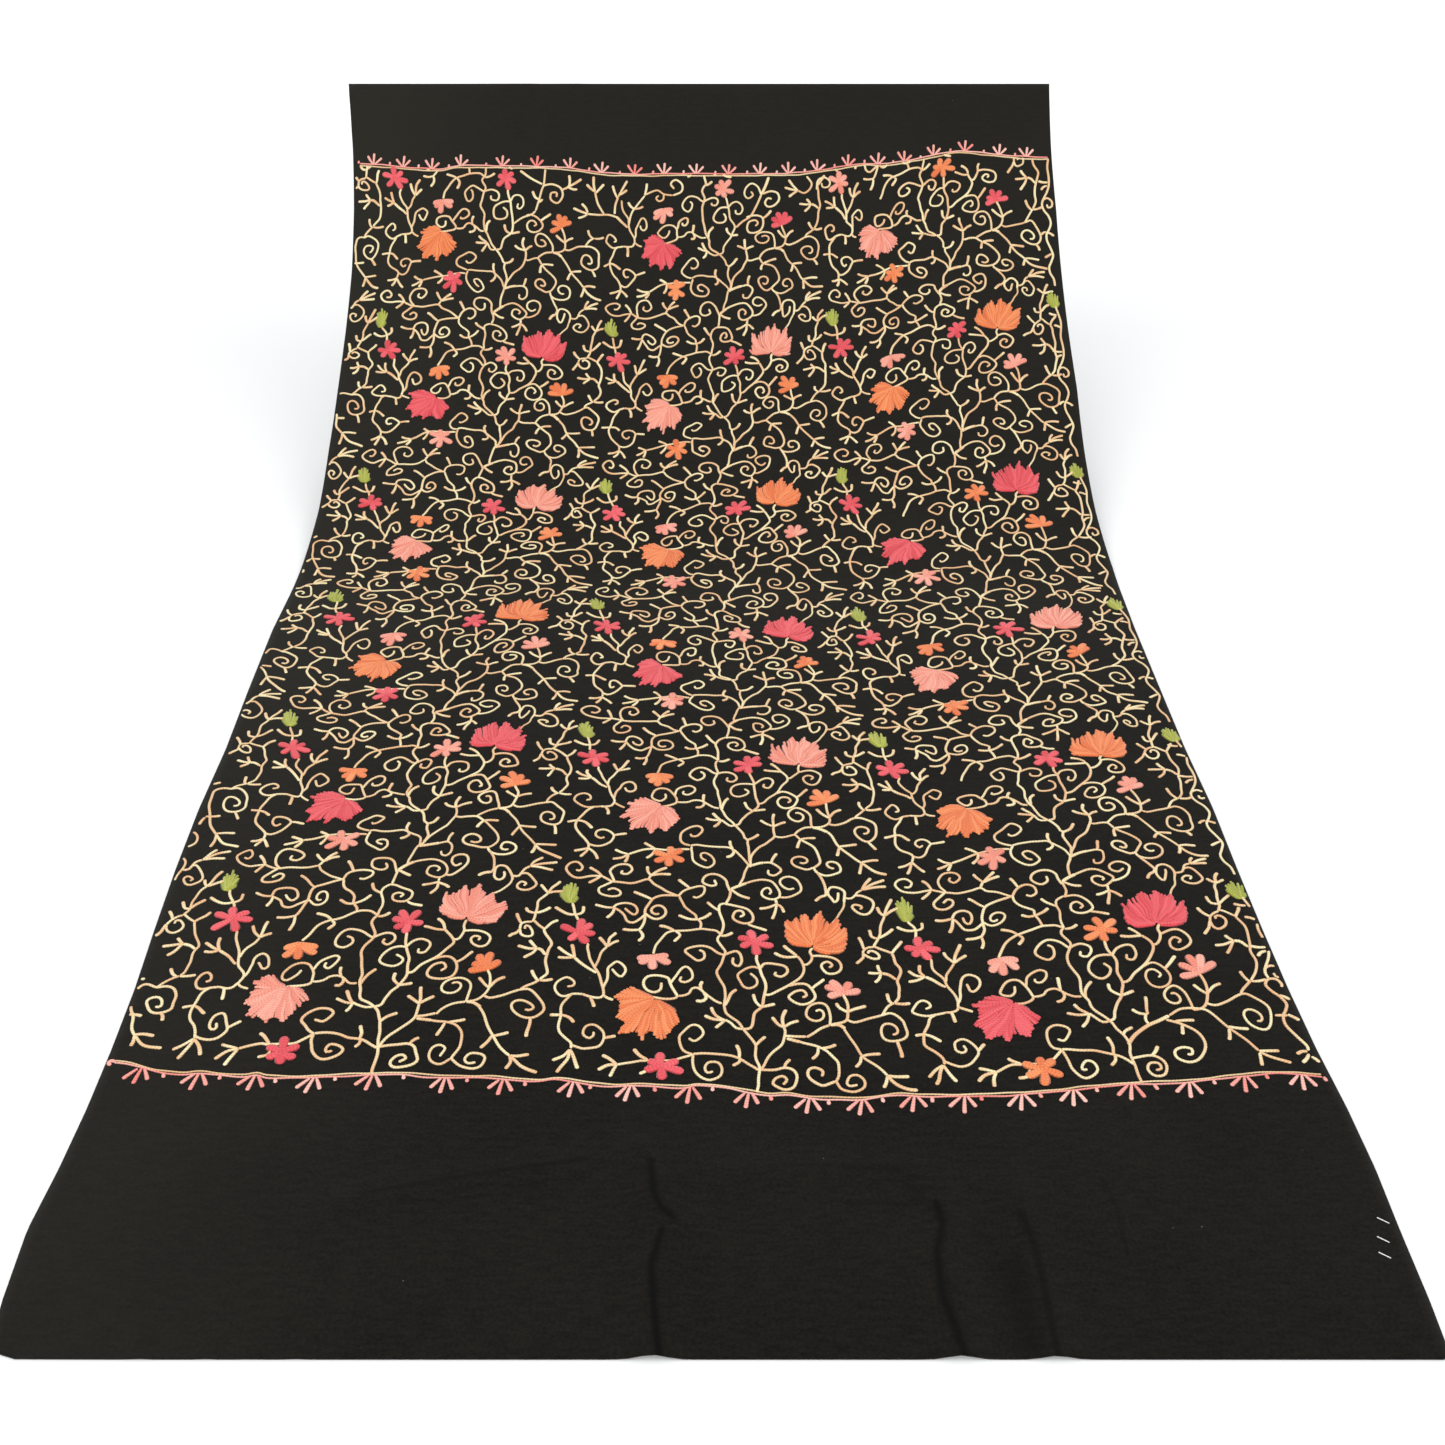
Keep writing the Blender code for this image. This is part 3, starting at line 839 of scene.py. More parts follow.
# What stands below the nearest row of lotuses, where the border cuts the repeat short and its curls are
# rounder. It takes the place of what lies below "lastRowTop" on the repeat.
lastRowTop = -31
lastRowChart = (
    (
        "curl", (-57, -53), (-50, -56.5), (-44, -57), (-35, -52), (-29.5, -41), (-32, -29.5),
        (-38, -23.5), (-44.5, -27.5), (-45.5, -37.5), (-41.5, -42.5), (-38, -39), (-38.5, -33),
    ),
    ("twig", (-29.5, -40), (-25, -36), (-20, -32)),
    ("twig", (-58, -58), (-65, -66), (-73, -73)),
    ("twig", (-58, -58), (-61, -70), (-66.5, -84)),
    ("twig", (-58, -58), (-53, -68), (-48, -77)),
    ("stem", (42, -49.5), (35, -54), (28, -58), (8, -60), (1, -59.5), (-8, -62.5), (-17, -67)),
    ("twig", (-17, -67), (-25, -63), (-31, -60)),
    ("twig", (-17, -67), (-25, -70), (-32, -78)),
    ("twig", (-17, -67), (-20, -75), (-22.5, -84)),
    ("twig", (8, -59), (2, -54), (-4.5, -48)),
    ("twig", (12, -66), (8, -73), (0.5, -76.5)),
    (
        "curl", (42.5, -49), (34.5, -43), (30.5, -32), (33.5, -23), (41, -17), (49, -19), (51.5, -26),
        (45, -34.5), (38.5, -32),
    ),
    ("stem", (42.5, -48.5), (52, -49), (63.5, -50.5), (73, -54.5), (82.5, -58.5), (90, -65), (95.5, -70)),
    ("twig", (80.5, -57), (81.5, -49), (79.5, -40)),
    ("twig", (81, -57), (80.5, -62), (76, -66.5)),
    (
        "curl", (42.5, -49), (43, -61), (44, -70), (49, -77.5), (55.5, -80.5), (63.5, -76.5),
        (66.5, -70), (63.5, -63), (57, -61), (53, -66), (53.5, -71.5), (58.5, -71),
    ),
    (
        "stem", (95.5, -97), (96.5, -84), (96, -70), (93.5, -58), (94, -48), (93.5, -40), (90.5, -33),
        (87, -26), (84, -21.5),
    ),
    ("twig", (93.5, -40), (97, -35.5), (103.5, -31)),
    (
        "stem", (96.5, -70), (98, -64), (101, -57.5), (107, -50.5), (115, -42.5), (119.5, -34.5),
        (120.5, -27), (119.5, -21),
    ),
    (
        "curl", (96.5, -69), (108, -67.5), (116.5, -66), (124, -70), (128, -80), (123, -88.5),
        (113, -91.5), (107.5, -85), (110, -78.5), (115.5, -77), (118.5, -81.5), (114, -86),
    ),
    ("twig", (117, -66), (119, -62), (123.5, -58.5)),
    ("thick", (120.5, -37), (127, -38.5), (133, -39.5)),
    ("stem", (132, -39.5), (144, -44), (153.5, -49), (160, -58.5), (160.5, -70), (156, -82)),
    ("stem", (119.5, -34), (127, -34), (137, -32)),
    ("twig", (147, -45), (153, -43.5), (159, -40.5)),
    ("twig", (144, -45), (143, -51), (140, -57.5)),
    (
        "curl", (156, -81.5), (147.5, -87.5), (141, -84.5), (137.5, -76.5), (138.5, -69), (144, -66),
        (149, -70), (147, -78),
    ),
    (
        "curl", (156, -81), (162, -89), (171, -92), (178, -88), (179.5, -80.5), (175.5, -75.5),
        (168.5, -75.5), (165, -81.5), (167.5, -86), (173.5, -85),
    ),
    ("stem", (168, -23), (175, -39), (183.5, -52), (191, -62.5), (201, -73)),
    ("twig", (184, -53), (190, -50.5), (199, -48)),
    ("twig", (183, -53), (180.5, -60), (175.5, -67)),
    ("twig", (201, -73), (208, -73.5), (217, -72)),
    ("twig", (201, -73), (201, -80), (198, -87)),
    ("twig", (201, -73), (210, -83), (225, -88)),
    ("twig", (212, -30.5), (213.5, -40), (214, -51)),
)

# the arc that takes the place of the stems in a box of the repeat (right side, near side, far side), in the
# column that the left edge cuts
leftArcBox = (199, -58, 1)
leftArc = (
    "stem", (202, -0.5), (194, 0.5), (187.5, -3), (184.5, -12), (184.5, -25), (186, -38), (191, -51),
    (198, -61),
)

# the vine along the right edge, in millimetres from each of its buds
rightVine = (
    (
        "stem", (2, -12), (5, -24), (7.5, -38), (6.5, -50), (5, -62), (6.5, -78), (6, -90), (3, -100),
        (-3, -112), (-5, -120), (-2.5, -129), (3.5, -138), (6, -149), (3, -159), (-1, -167), (-1, -177),
        (3, -189), (6, -201), (2.5, -212), (-1, -221), (0, -231), (4, -240), (5, -252),
    ),
    ("curl", (-5, -120), (-3.5, -113), (3, -109.5), (9, -114.5), (9, -122), (3.5, -124.5), (2, -119)),
    ("twig", (3, -27), (-2.5, -26.5), (-8, -24)),
    ("twig", (6, -47), (1.5, -44), (-3, -43)),
    ("twig", (5, -85), (-2, -85), (-9, -83)),
    ("twig", (4, -90), (-1.5, -92), (-5.5, -97)),
    ("twig", (-1, -163), (-5, -164), (-9, -168)),
    ("twig", (0, -164), (5, -166), (9.5, -170)),
    ("twig", (5, -198), (0, -201), (-6, -205)),
)
# where its buds stand, and how far a bud's middle lies below the point that its vine is charted from
rightBuds = {"across": 0.487, "runs": (1.905, 1.634, 1.337, 1.055, 0.774, 0.514, 0.243), "droop": 0.003}


# strokes of the farthest row that differ from the repeat, in millimetres across and along the cloth itself,
# and the boxes (left, right, near side) in which they take the repeat's place
topGaps = ((-258, -180, 1775), (-180, -125, 1765), (-125, -28, 1772), (50, 128, 1773), (128, 160, 1800))
topChart = (
    ("stem", (-272, 1757), (-258, 1768), (-245, 1773), (-239, 1779)),
    ("stem", (-239, 1779), (-234, 1798), (-231, 1811), (-228, 1820), (-226, 1843)),
    ("twig", (-230, 1820), (-246, 1829), (-262, 1841)),
    ("twig", (-233, 1796), (-240, 1800), (-244, 1810)),
    ("twig", (-236, 1791), (-229, 1797)),
    (
        "curl", (-229, 1818), (-216, 1820), (-204, 1814), (-201, 1802), (-208, 1791), (-217.5, 1796),
        (-217.5, 1806), (-210, 1807), (-209.5, 1800),
    ),
    ("twig", (-203, 1811), (-193, 1816), (-191, 1825), (-192, 1834)),
    ("twig", (-193, 1816), (-184, 1821), (-174, 1828)),
    ("twig", (-193, 1815), (-186, 1812), (-180, 1812)),
    ("stem", (-121, 1767), (-135, 1772), (-149, 1772), (-165, 1773.5)),
    ("twig", (-165, 1773.5), (-176, 1778), (-186, 1783)),
    ("twig", (-165, 1775), (-168, 1783), (-174, 1790)),
    ("twig", (-165, 1773), (-172, 1769), (-179, 1767)),
    ("stem", (-142, 1773), (-151, 1790), (-155, 1808)),
    ("twig", (-155, 1808), (-157, 1820), (-157, 1832)),
    ("twig", (-155, 1808), (-162, 1814), (-167, 1820)),
    ("twig", (-154, 1806), (-148, 1813), (-142, 1820)),
    ("stem", (-127, 1773), (-126, 1787), (-122, 1800)),
    ("twig", (-122, 1800), (-116, 1812), (-109, 1825)),
    ("twig", (-123, 1798), (-127, 1807), (-130, 1818)),
    ("twig", (-120, 1803), (-114, 1807), (-109, 1811)),
    ("stem", (-107, 1755), (-103, 1774), (-95, 1787), (-84, 1802)),
    ("twig", (-84, 1802), (-82, 1812), (-81, 1821)),
    ("twig", (-98, 1780), (-104, 1785), (-108, 1792)),
    ("twig", (-99, 1781), (-92, 1782), (-86, 1785)),
    ("stem", (-84, 1803), (-67, 1810), (-57, 1804), (-44, 1802)),
    ("curl", (-44, 1802), (-32, 1808), (-31, 1819), (-40, 1826), (-47, 1820), (-42, 1812)),
    ("curl", (-57, 1804), (-58, 1796), (-64, 1793), (-68, 1798), (-64, 1802)),
    ("stem", (45, 1751), (55, 1761), (66, 1769), (75, 1786), (82, 1803)),
    ("thick", (82, 1803), (88, 1816), (93, 1830)),
    ("curl", (82, 1802), (77, 1815), (68, 1820), (60, 1813), (58, 1803), (63, 1797), (70, 1802), (67, 1808)),
    (
        "curl", (84, 1804), (95, 1808), (105, 1805), (107, 1795), (100, 1786), (91, 1784), (87, 1790),
        (91, 1797), (97, 1796),
    ),
    ("stem", (134, 1809), (143, 1805), (151, 1811), (154, 1820), (147, 1831)),
    ("twig", (134, 1809), (127, 1817), (121, 1826)),
    ("twig", (134, 1809), (124, 1811), (115, 1814)),
    ("twig", (134, 1809), (127, 1804), (121, 1799)),
    ("curl", (161, 1810), (163, 1824), (172, 1829), (180, 1823), (178, 1815), (170, 1814), (168, 1821)),
)

# strokes of the nearest row's right part, charted in the same way, and where they take the place of the
# repeat's and of the right edge's vine
nearRight = {"chartLeft": 100, "box": (370, 425, 352), "vineStop": 0.388}
nearRightChart = (
    ("thick", (344, 309), (352, 320), (365, 331), (376, 337), (386, 343)),
    ("stem", (386, 343), (398, 351), (413, 351), (421, 347), (432, 328), (443, 313), (450, 300)),
    ("twig", (450, 300), (458, 300), (467, 300)),
    ("twig", (450, 299), (458, 293), (473, 286)),
    ("twig", (450, 298), (449, 290), (448, 283)),
    ("twig", (432, 329), (440, 327), (449, 326)),
    ("twig", (432, 326), (431, 319), (429, 313)),
    (
        "curl", (382, 338), (393, 333), (404, 324), (408, 313), (406, 302), (398, 291), (389, 288),
        (381, 293), (381, 301), (388, 305), (395, 303), (394, 297), (390, 297),
    ),
    ("twig", (389, 336), (398, 337), (406, 337)),
    ("twig", (394, 331), (393, 325), (392, 320)),
    ("stem", (366, 333), (365, 339), (367, 346)),
    (
        "curl", (344, 293), (360, 296), (368, 291), (370, 283), (366, 274), (358, 273), (354, 280),
        (357, 287), (364, 287), (365, 281), (360, 279),
    ),
    ("twig", (361, 296), (365, 301), (368, 307)),
    (
        "curl", (491, 377), (492, 381), (489, 387), (482, 387), (478, 380), (481, 372), (486, 365),
        (489, 356), (486, 348), (482, 341), (481, 330), (486, 317), (491, 306), (491, 300),
    ),
    ("twig", (486, 367), (491, 364), (495, 359)),
    ("twig", (475, 342), (480, 342), (486, 342)),
    ("twig", (486, 343), (490, 340), (495, 335)),
    ("twig", (490, 299), (485, 299), (480, 296)),
    ("twig", (490, 296), (487, 291), (482, 286)),
    ("twig", (491, 293), (494, 290), (496, 286)),
)


def chartedStrokes(strokeChart, forks=()):
    # every stroke of a chart as (kind, smooth route in millimetres)
    made = []
    for kind, *places in strokeChart:
        if len(places[-1]) == 3:
            stem = np.array(places[:-1], float)
            route = np.concatenate([stem, curlPlaces(places[-2], places[-1])])
        else:
            route = np.array(places, float)
        made.append((kind, smoothRoute(route)))
    for base, *tips in forks:
        for tip in tips:
            bend = np.array([base[1] - tip[1], tip[0] - base[0]]) * vine["forkBow"]
            middle = (np.array(base) + np.array(tip)) / 2 + bend
            made.append(("twig", smoothRoute([base, middle, tip])))
    return made


borders = {
    "near": {
        "outward": -1.0, "rowWidth": 1.75,
        "line": (
            (-0.520, 0.2995), (-0.492, 0.2995), (-0.478, 0.298), (-0.465, 0.2935), (-0.450, 0.2885),
            (-0.430, 0.2855), (-0.416, 0.287), (-0.400, 0.2845), (-0.380, 0.282), (-0.369, 0.284),
            (-0.360, 0.281), (-0.340, 0.280), (-0.320, 0.2805), (-0.280, 0.283), (-0.250, 0.283),
            (-0.230, 0.280), (-0.200, 0.2785), (-0.180, 0.278), (-0.160, 0.2755), (-0.140, 0.274),
            (-0.125, 0.276), (-0.100, 0.2705), (-0.080, 0.2675), (-0.060, 0.268), (-0.025, 0.265),
            (-0.012, 0.2675), (0.010, 0.2648), (0.030, 0.2596), (0.045, 0.2563), (0.060, 0.2567),
            (0.080, 0.252), (0.100, 0.2509), (0.120, 0.2504), (0.147, 0.2548), (0.170, 0.2535),
            (0.230, 0.2535), (0.260, 0.2557), (0.280, 0.2574), (0.300, 0.2605), (0.335, 0.2645),
            (0.380, 0.2662), (0.420, 0.271), (0.450, 0.2748), (0.470, 0.2745), (0.493, 0.2715),
            (0.520, 0.271),
        ),
        "sprigs": (
            -0.464, -0.416, -0.370, -0.322, -0.275, -0.216, -0.169, -0.112, -0.066, -0.018, 0.029,
            0.077, 0.119, 0.161, 0.201, 0.247, 0.289, 0.337, 0.384, 0.430, 0.477,
        ),
        "knobs": (
            -0.445, -0.398, -0.353, -0.305, -0.250, -0.198, -0.151, -0.098, -0.047, 0.000, 0.046, 0.092,
            0.135, 0.175, 0.214, 0.261, 0.308, 0.355, 0.404, 0.448, 0.494,
        ),
        # start and tip of each prong from the sprig's foot, in millimetres, outwards
        "prongs": (((-3, 0.5), (-12.5, 11.5)), ((0, 0), (-3.2, 17.5)), ((2, 0), (8, 13.5))),
    },
    "far": {
        "outward": 1.0, "rowWidth": 2.3,
        "line": (
            (-0.520, 1.8515), (-0.500, 1.8513), (-0.450, 1.848), (-0.430, 1.846), (-0.400, 1.8437),
            (-0.375, 1.8422), (-0.358, 1.846), (-0.340, 1.8474), (-0.300, 1.847), (-0.250, 1.8463),
            (-0.200, 1.8437), (-0.150, 1.8367), (-0.120, 1.8346), (-0.080, 1.8335), (-0.040, 1.834),
            (0.100, 1.8335), (0.120, 1.834), (0.140, 1.8352), (0.160, 1.838), (0.180, 1.8413),
            (0.200, 1.8446), (0.230, 1.8485), (0.250, 1.8476), (0.270, 1.8489), (0.300, 1.8543),
            (0.330, 1.8609), (0.360, 1.8667), (0.380, 1.8663), (0.400, 1.8637), (0.430, 1.8602),
            (0.460, 1.858), (0.490, 1.857), (0.520, 1.861),
        ),
        "sprigs": (
            -0.471, -0.429, -0.388, -0.347, -0.288, -0.239, -0.191, -0.146, -0.099, -0.057, -0.011,
            0.035, 0.080, 0.121, 0.162, 0.206, 0.249, 0.287, 0.329, 0.374, 0.423, 0.462,
        ),
        "knobs": (
            -0.492, -0.448, -0.407, -0.364, -0.311, -0.261, -0.211, -0.164, -0.120, -0.073, -0.029,
            0.016, 0.062, 0.104, 0.144, 0.187, 0.230, 0.271, 0.310, 0.353, 0.401, 0.446,
        ),
        "prongs": (((-0.5, 0), (-9, 13.5)), ((0, 0), (1.5, 16.5)), ((1, 0), (11, 10))),
    },
}


def insideField(places, margin):
    # true where a place lies between the two borders and inside the cloth's long edges
    near, far = (np.array(borders[end]["line"]) for end in ("near", "far"))
    left, right = edgeBows(places[..., 1])
    half = cloth["width"] / 2 - margin
    held = (places[..., 0] > -half - left) & (places[..., 0] < half + right)
    held &= places[..., 1] > np.interp(places[..., 0], near[:, 0], near[:, 1])
    held &= places[..., 1] < np.interp(places[..., 0], far[:, 0], far[:, 1])
    return held


def insideRuns(held):
    # first and last index of each unbroken run of true values
    edges = np.flatnonzero(np.diff(np.concatenate([[False], held, [False]]).astype(int)))
    return edges.reshape(-1, 2)


def toneWalk(length):
    # the thread's shade along a stroke: it changes slowly between cream and tan, from a chance start
    walk = chance.uniform(0.0, 1.0, int(length / vine["toneLength"]) + 3)
    return np.clip((walk - 0.5) * vine["toneSpread"] + 0.5, 0.0, 1.0)


def sewStroke(sewing, kind, places):
    # the parts of one stroke that lie inside the field, each as a band
    startWidth, endWidth, step = strokes[kind]
    for first, last in insideRuns(insideField(places, vine["edgeMargin"])):
        if last - first > 2:
            part = places[first:last]
            far = np.clip((part[:, 1].mean() - vine["wideningStart"]) / vine["wideningReach"], 0.0, 1.0)
            fatness = chance.uniform(*vine["widthChance"]) * (1 + vine["farWidening"] * far) * millimetre / 2
            halves = (startWidth * fatness, endWidth * fatness)
            height = vine["height"] * millimetre * chance.uniform(*vine["heightChance"])
            tones = toneWalk(routeLength(part))
            sewing.band(part, halves, height, step=step * millimetre, tones=tones)


def sewRepeats(sewings, charted, units, held=None):
    # one set of strokes in many repeats; held(kind, middle, row, column, real middle) says which a repeat has
    owner = {-1: "vineLeft", 0: "vineLeft", 1: "vineMiddle", 2: "vineRight"}
    origins = np.array([unitOrigin(row, column) for row, column in units])
    for kind, route in charted:
        places = warpPlaces(origins[:, None, :] + route[None, :, :] * millimetre)
        for unit, (row, column) in enumerate(units):
            real = places[unit].mean(axis=0) / millimetre
            if held is None or held(kind, route.mean(axis=0), row, column, real):
                sewStroke(sewings[owner[column]], kind, places[unit])


def heldByRepeat(kind, middle, row, column, real):
    # all but what the left edge's arc and the nearest and the farthest row's own strokes take the place of
    arcRight, arcNear, arcFar = leftArcBox
    byArc = column == -1 and kind != "twig" and middle[0] < arcRight and arcNear < middle[1] < arcFar
    byLastRow = column > -1 and row == lattice["rows"] - 1 and middle[1] < lastRowTop
    inTopGap = (left < real[0] < right and real[1] > near for left, right, near in topGaps)
    byTopRow = row == 0 and any(inTopGap)
    left, right, far = nearRight["box"]
    byNearRight = row == lattice["rows"] - 1 and left < real[0] < right and real[1] < far
    return not (byArc or byLastRow or byTopRow or byNearRight)


def heldByLastRow(kind, middle, row, column, real):
    # all but what stands in the right part, where the border runs otherwise
    return column < 2 or middle[0] < nearRight["chartLeft"]


def sewVines():
    # every repeat through the warp, the strokes on the cloth itself, and the vine along the right edge. That
    # one is stretched to the distance between its buds.
    sewings = {name: Sewing() for name in ("vineLeft", "vineMiddle", "vineRight")}
    rows, columns = range(lattice["rows"]), lattice["columns"]
    units = [(row, column) for row in rows for column in columns]
    nearest = [(rows[-1], column) for column in columns[1:]]
    sewRepeats(sewings, chartedStrokes(vineChart, forkChart), units, heldByRepeat)
    sewRepeats(sewings, chartedStrokes(lastRowChart), nearest, heldByLastRow)
    sewRepeats(sewings, chartedStrokes((leftArc,)), [(row, columns[0]) for row in rows])
    for kind, *places in topChart + nearRightChart:
        sewStroke(sewings["vineMiddle"], kind, smoothRoute(places) * millimetre)
    for top, bottom in zip(rightBuds["runs"][:-1], rightBuds["runs"][1:]):
        stretch = np.array([1.0, (top - bottom) / lattice["pitch"][1]]) * millimetre
        stop = nearRight["vineStop"] if bottom == rightBuds["runs"][-1] else 0.0
        for kind, *places in rightVine:
            route = np.array([rightBuds["across"], top]) + smoothRoute(places) * stretch
            sewStroke(sewings["vineRight"], kind, route[route[:, 1] > stop])
    return [sewing.piece(name) for name, sewing in sewings.items()]


vinePieces = sewVines()


# Lotus fans and buds, in rows of chain stitch that start at the stem and spread.

fans = {
    # foot of the rows and the tips along the rim, from the motif's middle; how many rows; widths of a row
    # from foot to tip; bow
    "hanging": {
        "foot": (10, 17), "rows": 50, "widths": (2.2, 3.4, 3.4), "bow": 0.15,
        "rim": (
            (-8, 32), (-13, 30), (-18, 25), (-21, 21.5), (-25, 19), (-21, 15), (-20, 10), (-22, 4),
            (-21, -1), (-24, -6), (-26, -10), (-20, -13), (-17, -15), (-16, -21), (-18.5, -29),
            (-13, -28), (-9, -26), (-5, -26), (-2, -29), (0.5, -36), (4, -28), (8, -25), (12, -27),
            (16, -33), (20, -28), (24, -22), (27, -17), (31, -12), (32, -8), (29, -3),
        ),
    },
    "upright": {
        "foot": (-1.5, -23), "rows": 54, "widths": (2.2, 3.4, 3.2), "bow": 1.0,
        "rim": (
            (-26, -17), (-29, -12), (-29, -5), (-27, 3), (-26, 9), (-25.5, 16), (-22, 12), (-19, 14),
            (-15, 18), (-12, 20), (-9, 23), (-6, 29), (-2.5, 20), (1, 22), (4, 27), (7, 33), (9.5, 26),
            (12.5, 22), (15, 17), (18, 21), (21.5, 26), (22, 14), (23.5, 4), (27, 9), (30.5, 15.5),
            (31, 5), (30.5, -5), (29, -14), (26, -21), (17, -25.5),
        ),
    },
    "bud": {
        "foot": (1, -15), "rows": 11, "widths": (2.4, 3.2, 2.8), "bow": 1.0,
        "rim": (
            (-6.5, 2), (-9.5, 9), (-6.5, 5), (-6, 12), (-4, 9), (-2, 16), (0.5, 10), (3.5, 10), (4, 4),
            (7, 7), (6.5, 0),
        ),
    },
}
fanLook = {
    # heights and the unevenness of the tips in millimetres, lengths of a step in metres, the rest as shares
    "height": 1.2, "steps": 0.08, "size": 0.96, "swell": 0.02, "swellTurns": 1.5, "sizeChance": (0.97, 1.03),
    "tipChance": 0.35, "reachChance": 0.028, "tone": 0.5, "toneChance": 0.4, "step": 0.0034,
    # how far a leaning row's bend moves down the fan's axis and out to its side
    "bendDown": 0.38, "bendOut": 0.45,
    # where the rows start, in turn, from the foot to the tip
    "starts": (0.03, 0.36, 0.16, 0.46), "startChance": (0.8, 1.2),
    # every third row has a wide low one under it, in the thread's darker tone as painted shade between the
    # rows
    "underEvery": 3, "underStart": 0.04, "underReach": 0.84, "underWidths": (5.0, 9.0, 9.0),
    "underHeight": 0.7, "underShadeTone": 0.95, "underStep": 0.005,
}


def aroundMotif(place, chartMiddle=None):
    # the way from a motif's own chart to the cloth
    def toCloth(offsets):
        # place + warp(middle + offset) - warp(middle), the offsets in chart millimetres
        offsets = np.asarray(offsets, float) * millimetre
        if chartMiddle is None:
            return np.asarray(place) + offsets
        return np.asarray(place) + warpPlaces(chartMiddle + offsets) - warpPlaces(chartMiddle[None, :])
    return toCloth


def chanceTone(middle, spread):
    # one shade for a whole row or petal
    return np.clip(chance.normal(middle, spread), 0, 1)


def sewFan(sewing, kind, toCloth):
    # a row = 2 x share x (1 - share) x knee + share^2 x tip, from near the foot to its tip on the rim. Its
    # knee moves outwards with its lean. Five heights in turn keep neighbours apart.
    fan = fans[kind]
    rim = np.array(fan["rim"], float) - fan["foot"]
    tips = restep(rim, np.linspace(0.0, routeLength(rim), fan["rows"]))
    turns = np.linspace(0.0, 2 * math.pi * fanLook["swellTurns"], len(tips)) + chance.uniform(0, 6.28)
    swell = 1 + fanLook["swell"] * np.sin(turns)
    swell = swell * (1 + chance.normal(0.0, fanLook["reachChance"], len(tips)))
    swell = swell * chance.uniform(*fanLook["sizeChance"])
    tips = tips * swell[:, None] * fanLook["size"] + chance.normal(0.0, fanLook["tipChance"], (len(tips), 2))
    axis = tips.mean(axis=0)
    axis /= np.hypot(*axis)
    share = np.linspace(0.0, 1.0, 12)[:, None]
    routes, unders = [], []
    for row, tip in enumerate(tips):
        onAxis = tip @ axis
        off = tip - onAxis * axis
        lean = fan["bow"] * np.hypot(*off) / max(np.hypot(*tip), 1.0)
        knee = axis * onAxis * (0.5 - fanLook["bendDown"] * lean) + off * (0.5 + fanLook["bendOut"] * lean)
        route = 2 * share * (1 - share) * knee + share ** 2 * tip
        reach = routeLength(route)
        start = fanLook["starts"][row % len(fanLook["starts"])]
        start = start * chance.uniform(*fanLook["startChance"]) * reach
        routes.append(restep(route, np.linspace(start, reach, len(share))) + fan["foot"])
        if row % fanLook["underEvery"] == 1:
            stops = np.linspace(fanLook["underStart"] * reach, fanLook["underReach"] * reach, 7)
            unders.append(restep(route, stops) + fan["foot"])
    # the low rows: their darker tone is painted shade in the gaps between the rows above
    for route in toCloth(np.array(unders)):
        sewing.band(
            route, halvesOf(fanLook["underWidths"]), fanLook["underHeight"] * millimetre,
            section="row", step=fanLook["underStep"], tones=fanLook["underShadeTone"],
        )
    for row, route in enumerate(toCloth(np.array(routes))):
        sewing.band(
            route, halvesOf(fan["widths"]), fanLook["height"] * millimetre,
            section="row", step=fanLook["step"],
            tones=chanceTone(fanLook["tone"], fanLook["toneChance"]),
            lift=seat + fanLook["steps"] * millimetre * (row * 7 % 5),
        )


threadNames = {"O": "Orange", "C": "Crimson", "S": "Salmon"}


def motifPlaces(kind):
    # every motif of a kind: its letter, the node it stands for, and the way from its chart to the cloth
    motif = motifs[kind]
    for row, (*runs, letters) in enumerate(motif["rows"]):
        for column, (run, letter) in enumerate(zip(runs, letters)):
            chartMiddle = unitOrigin(row + motif["firstRow"], column) + np.array(motif["middle"]) * millimetre
            toCloth = aroundMotif((acrossOf(motif, row, column), run), chartMiddle)
            yield letter, f"{kind}_lotus_{row + 1}_{column + 1}", toCloth


def sewLotuses():
    # one piece for each thread colour, with the CAD plates that it stands for
    made = []
    for letter, thread in threadNames.items():
        sewing, nodes = Sewing(), []
        for kind in ("hanging", "upright"):
            for own, node, toCloth in motifPlaces(kind):
                if own == letter:
                    sewFan(sewing, kind, toCloth)
                    nodes.append(node)
        made.append((sewing.piece("lotus" + thread), thread, nodes))
    return made


lotusPieces = sewLotuses()

budSewing = Sewing()
for letter, node, toCloth in motifPlaces("bud"):
    sewFan(budSewing, "bud", toCloth)
for run in rightBuds["runs"][1:-1]:
    sewFan(budSewing, "bud", aroundMotif((rightBuds["across"], run - rightBuds["droop"])))
budPiece = budSewing.piece("greenBuds")


# Small flowers of looped petals.

# direction in degrees and length in millimetres of each petal, from the flower's heart
flowers = {
    "star": {
        "heart": (-58, 104.5),
        "petals": ((95, 18), (48, 17.5), (-5, 16.5), (-72, 19), (236, 20), (165, 16)),
    },
    "bell": {"heart": (6, 74), "petals": ((195, 14), (232, 18), (-92, 22.5), (-48, 20), (-14, 16))},
    "aster": {
        "heart": (97, 85),
        "petals": ((100, 17.5), (45, 16.5), (-20, 16.5), (-82, 16.5), (208, 15), (146, 16.5)),
    },
    "cup": {"heart": (170.5, 18), "petals": ((112, 20), (74, 20.5), (38, 18.5), (150, 17), (197, 17))},
    "daisy": {
        "heart": (20.5, -67), "petals": ((92, 16), (34, 15.5), (-32, 16), (-88, 17), (213, 16), (150, 15)),
    },
}
# millimetres, but the step in metres; then the chance of a petal's angle in degrees, and of its size, bend,
# shade and lift
petalLook = {
    "widths": (4.8, 7.6, 9.4, 8.4), "height": 1.4, "lift": 0.2, "start": -1.0, "step": 0.0022, "tone": 0.5,
    "angleChance": 3.5, "sizeChance": 0.04, "bendChance": 0.05, "toneChance": 0.28, "liftChance": 0.15,
}


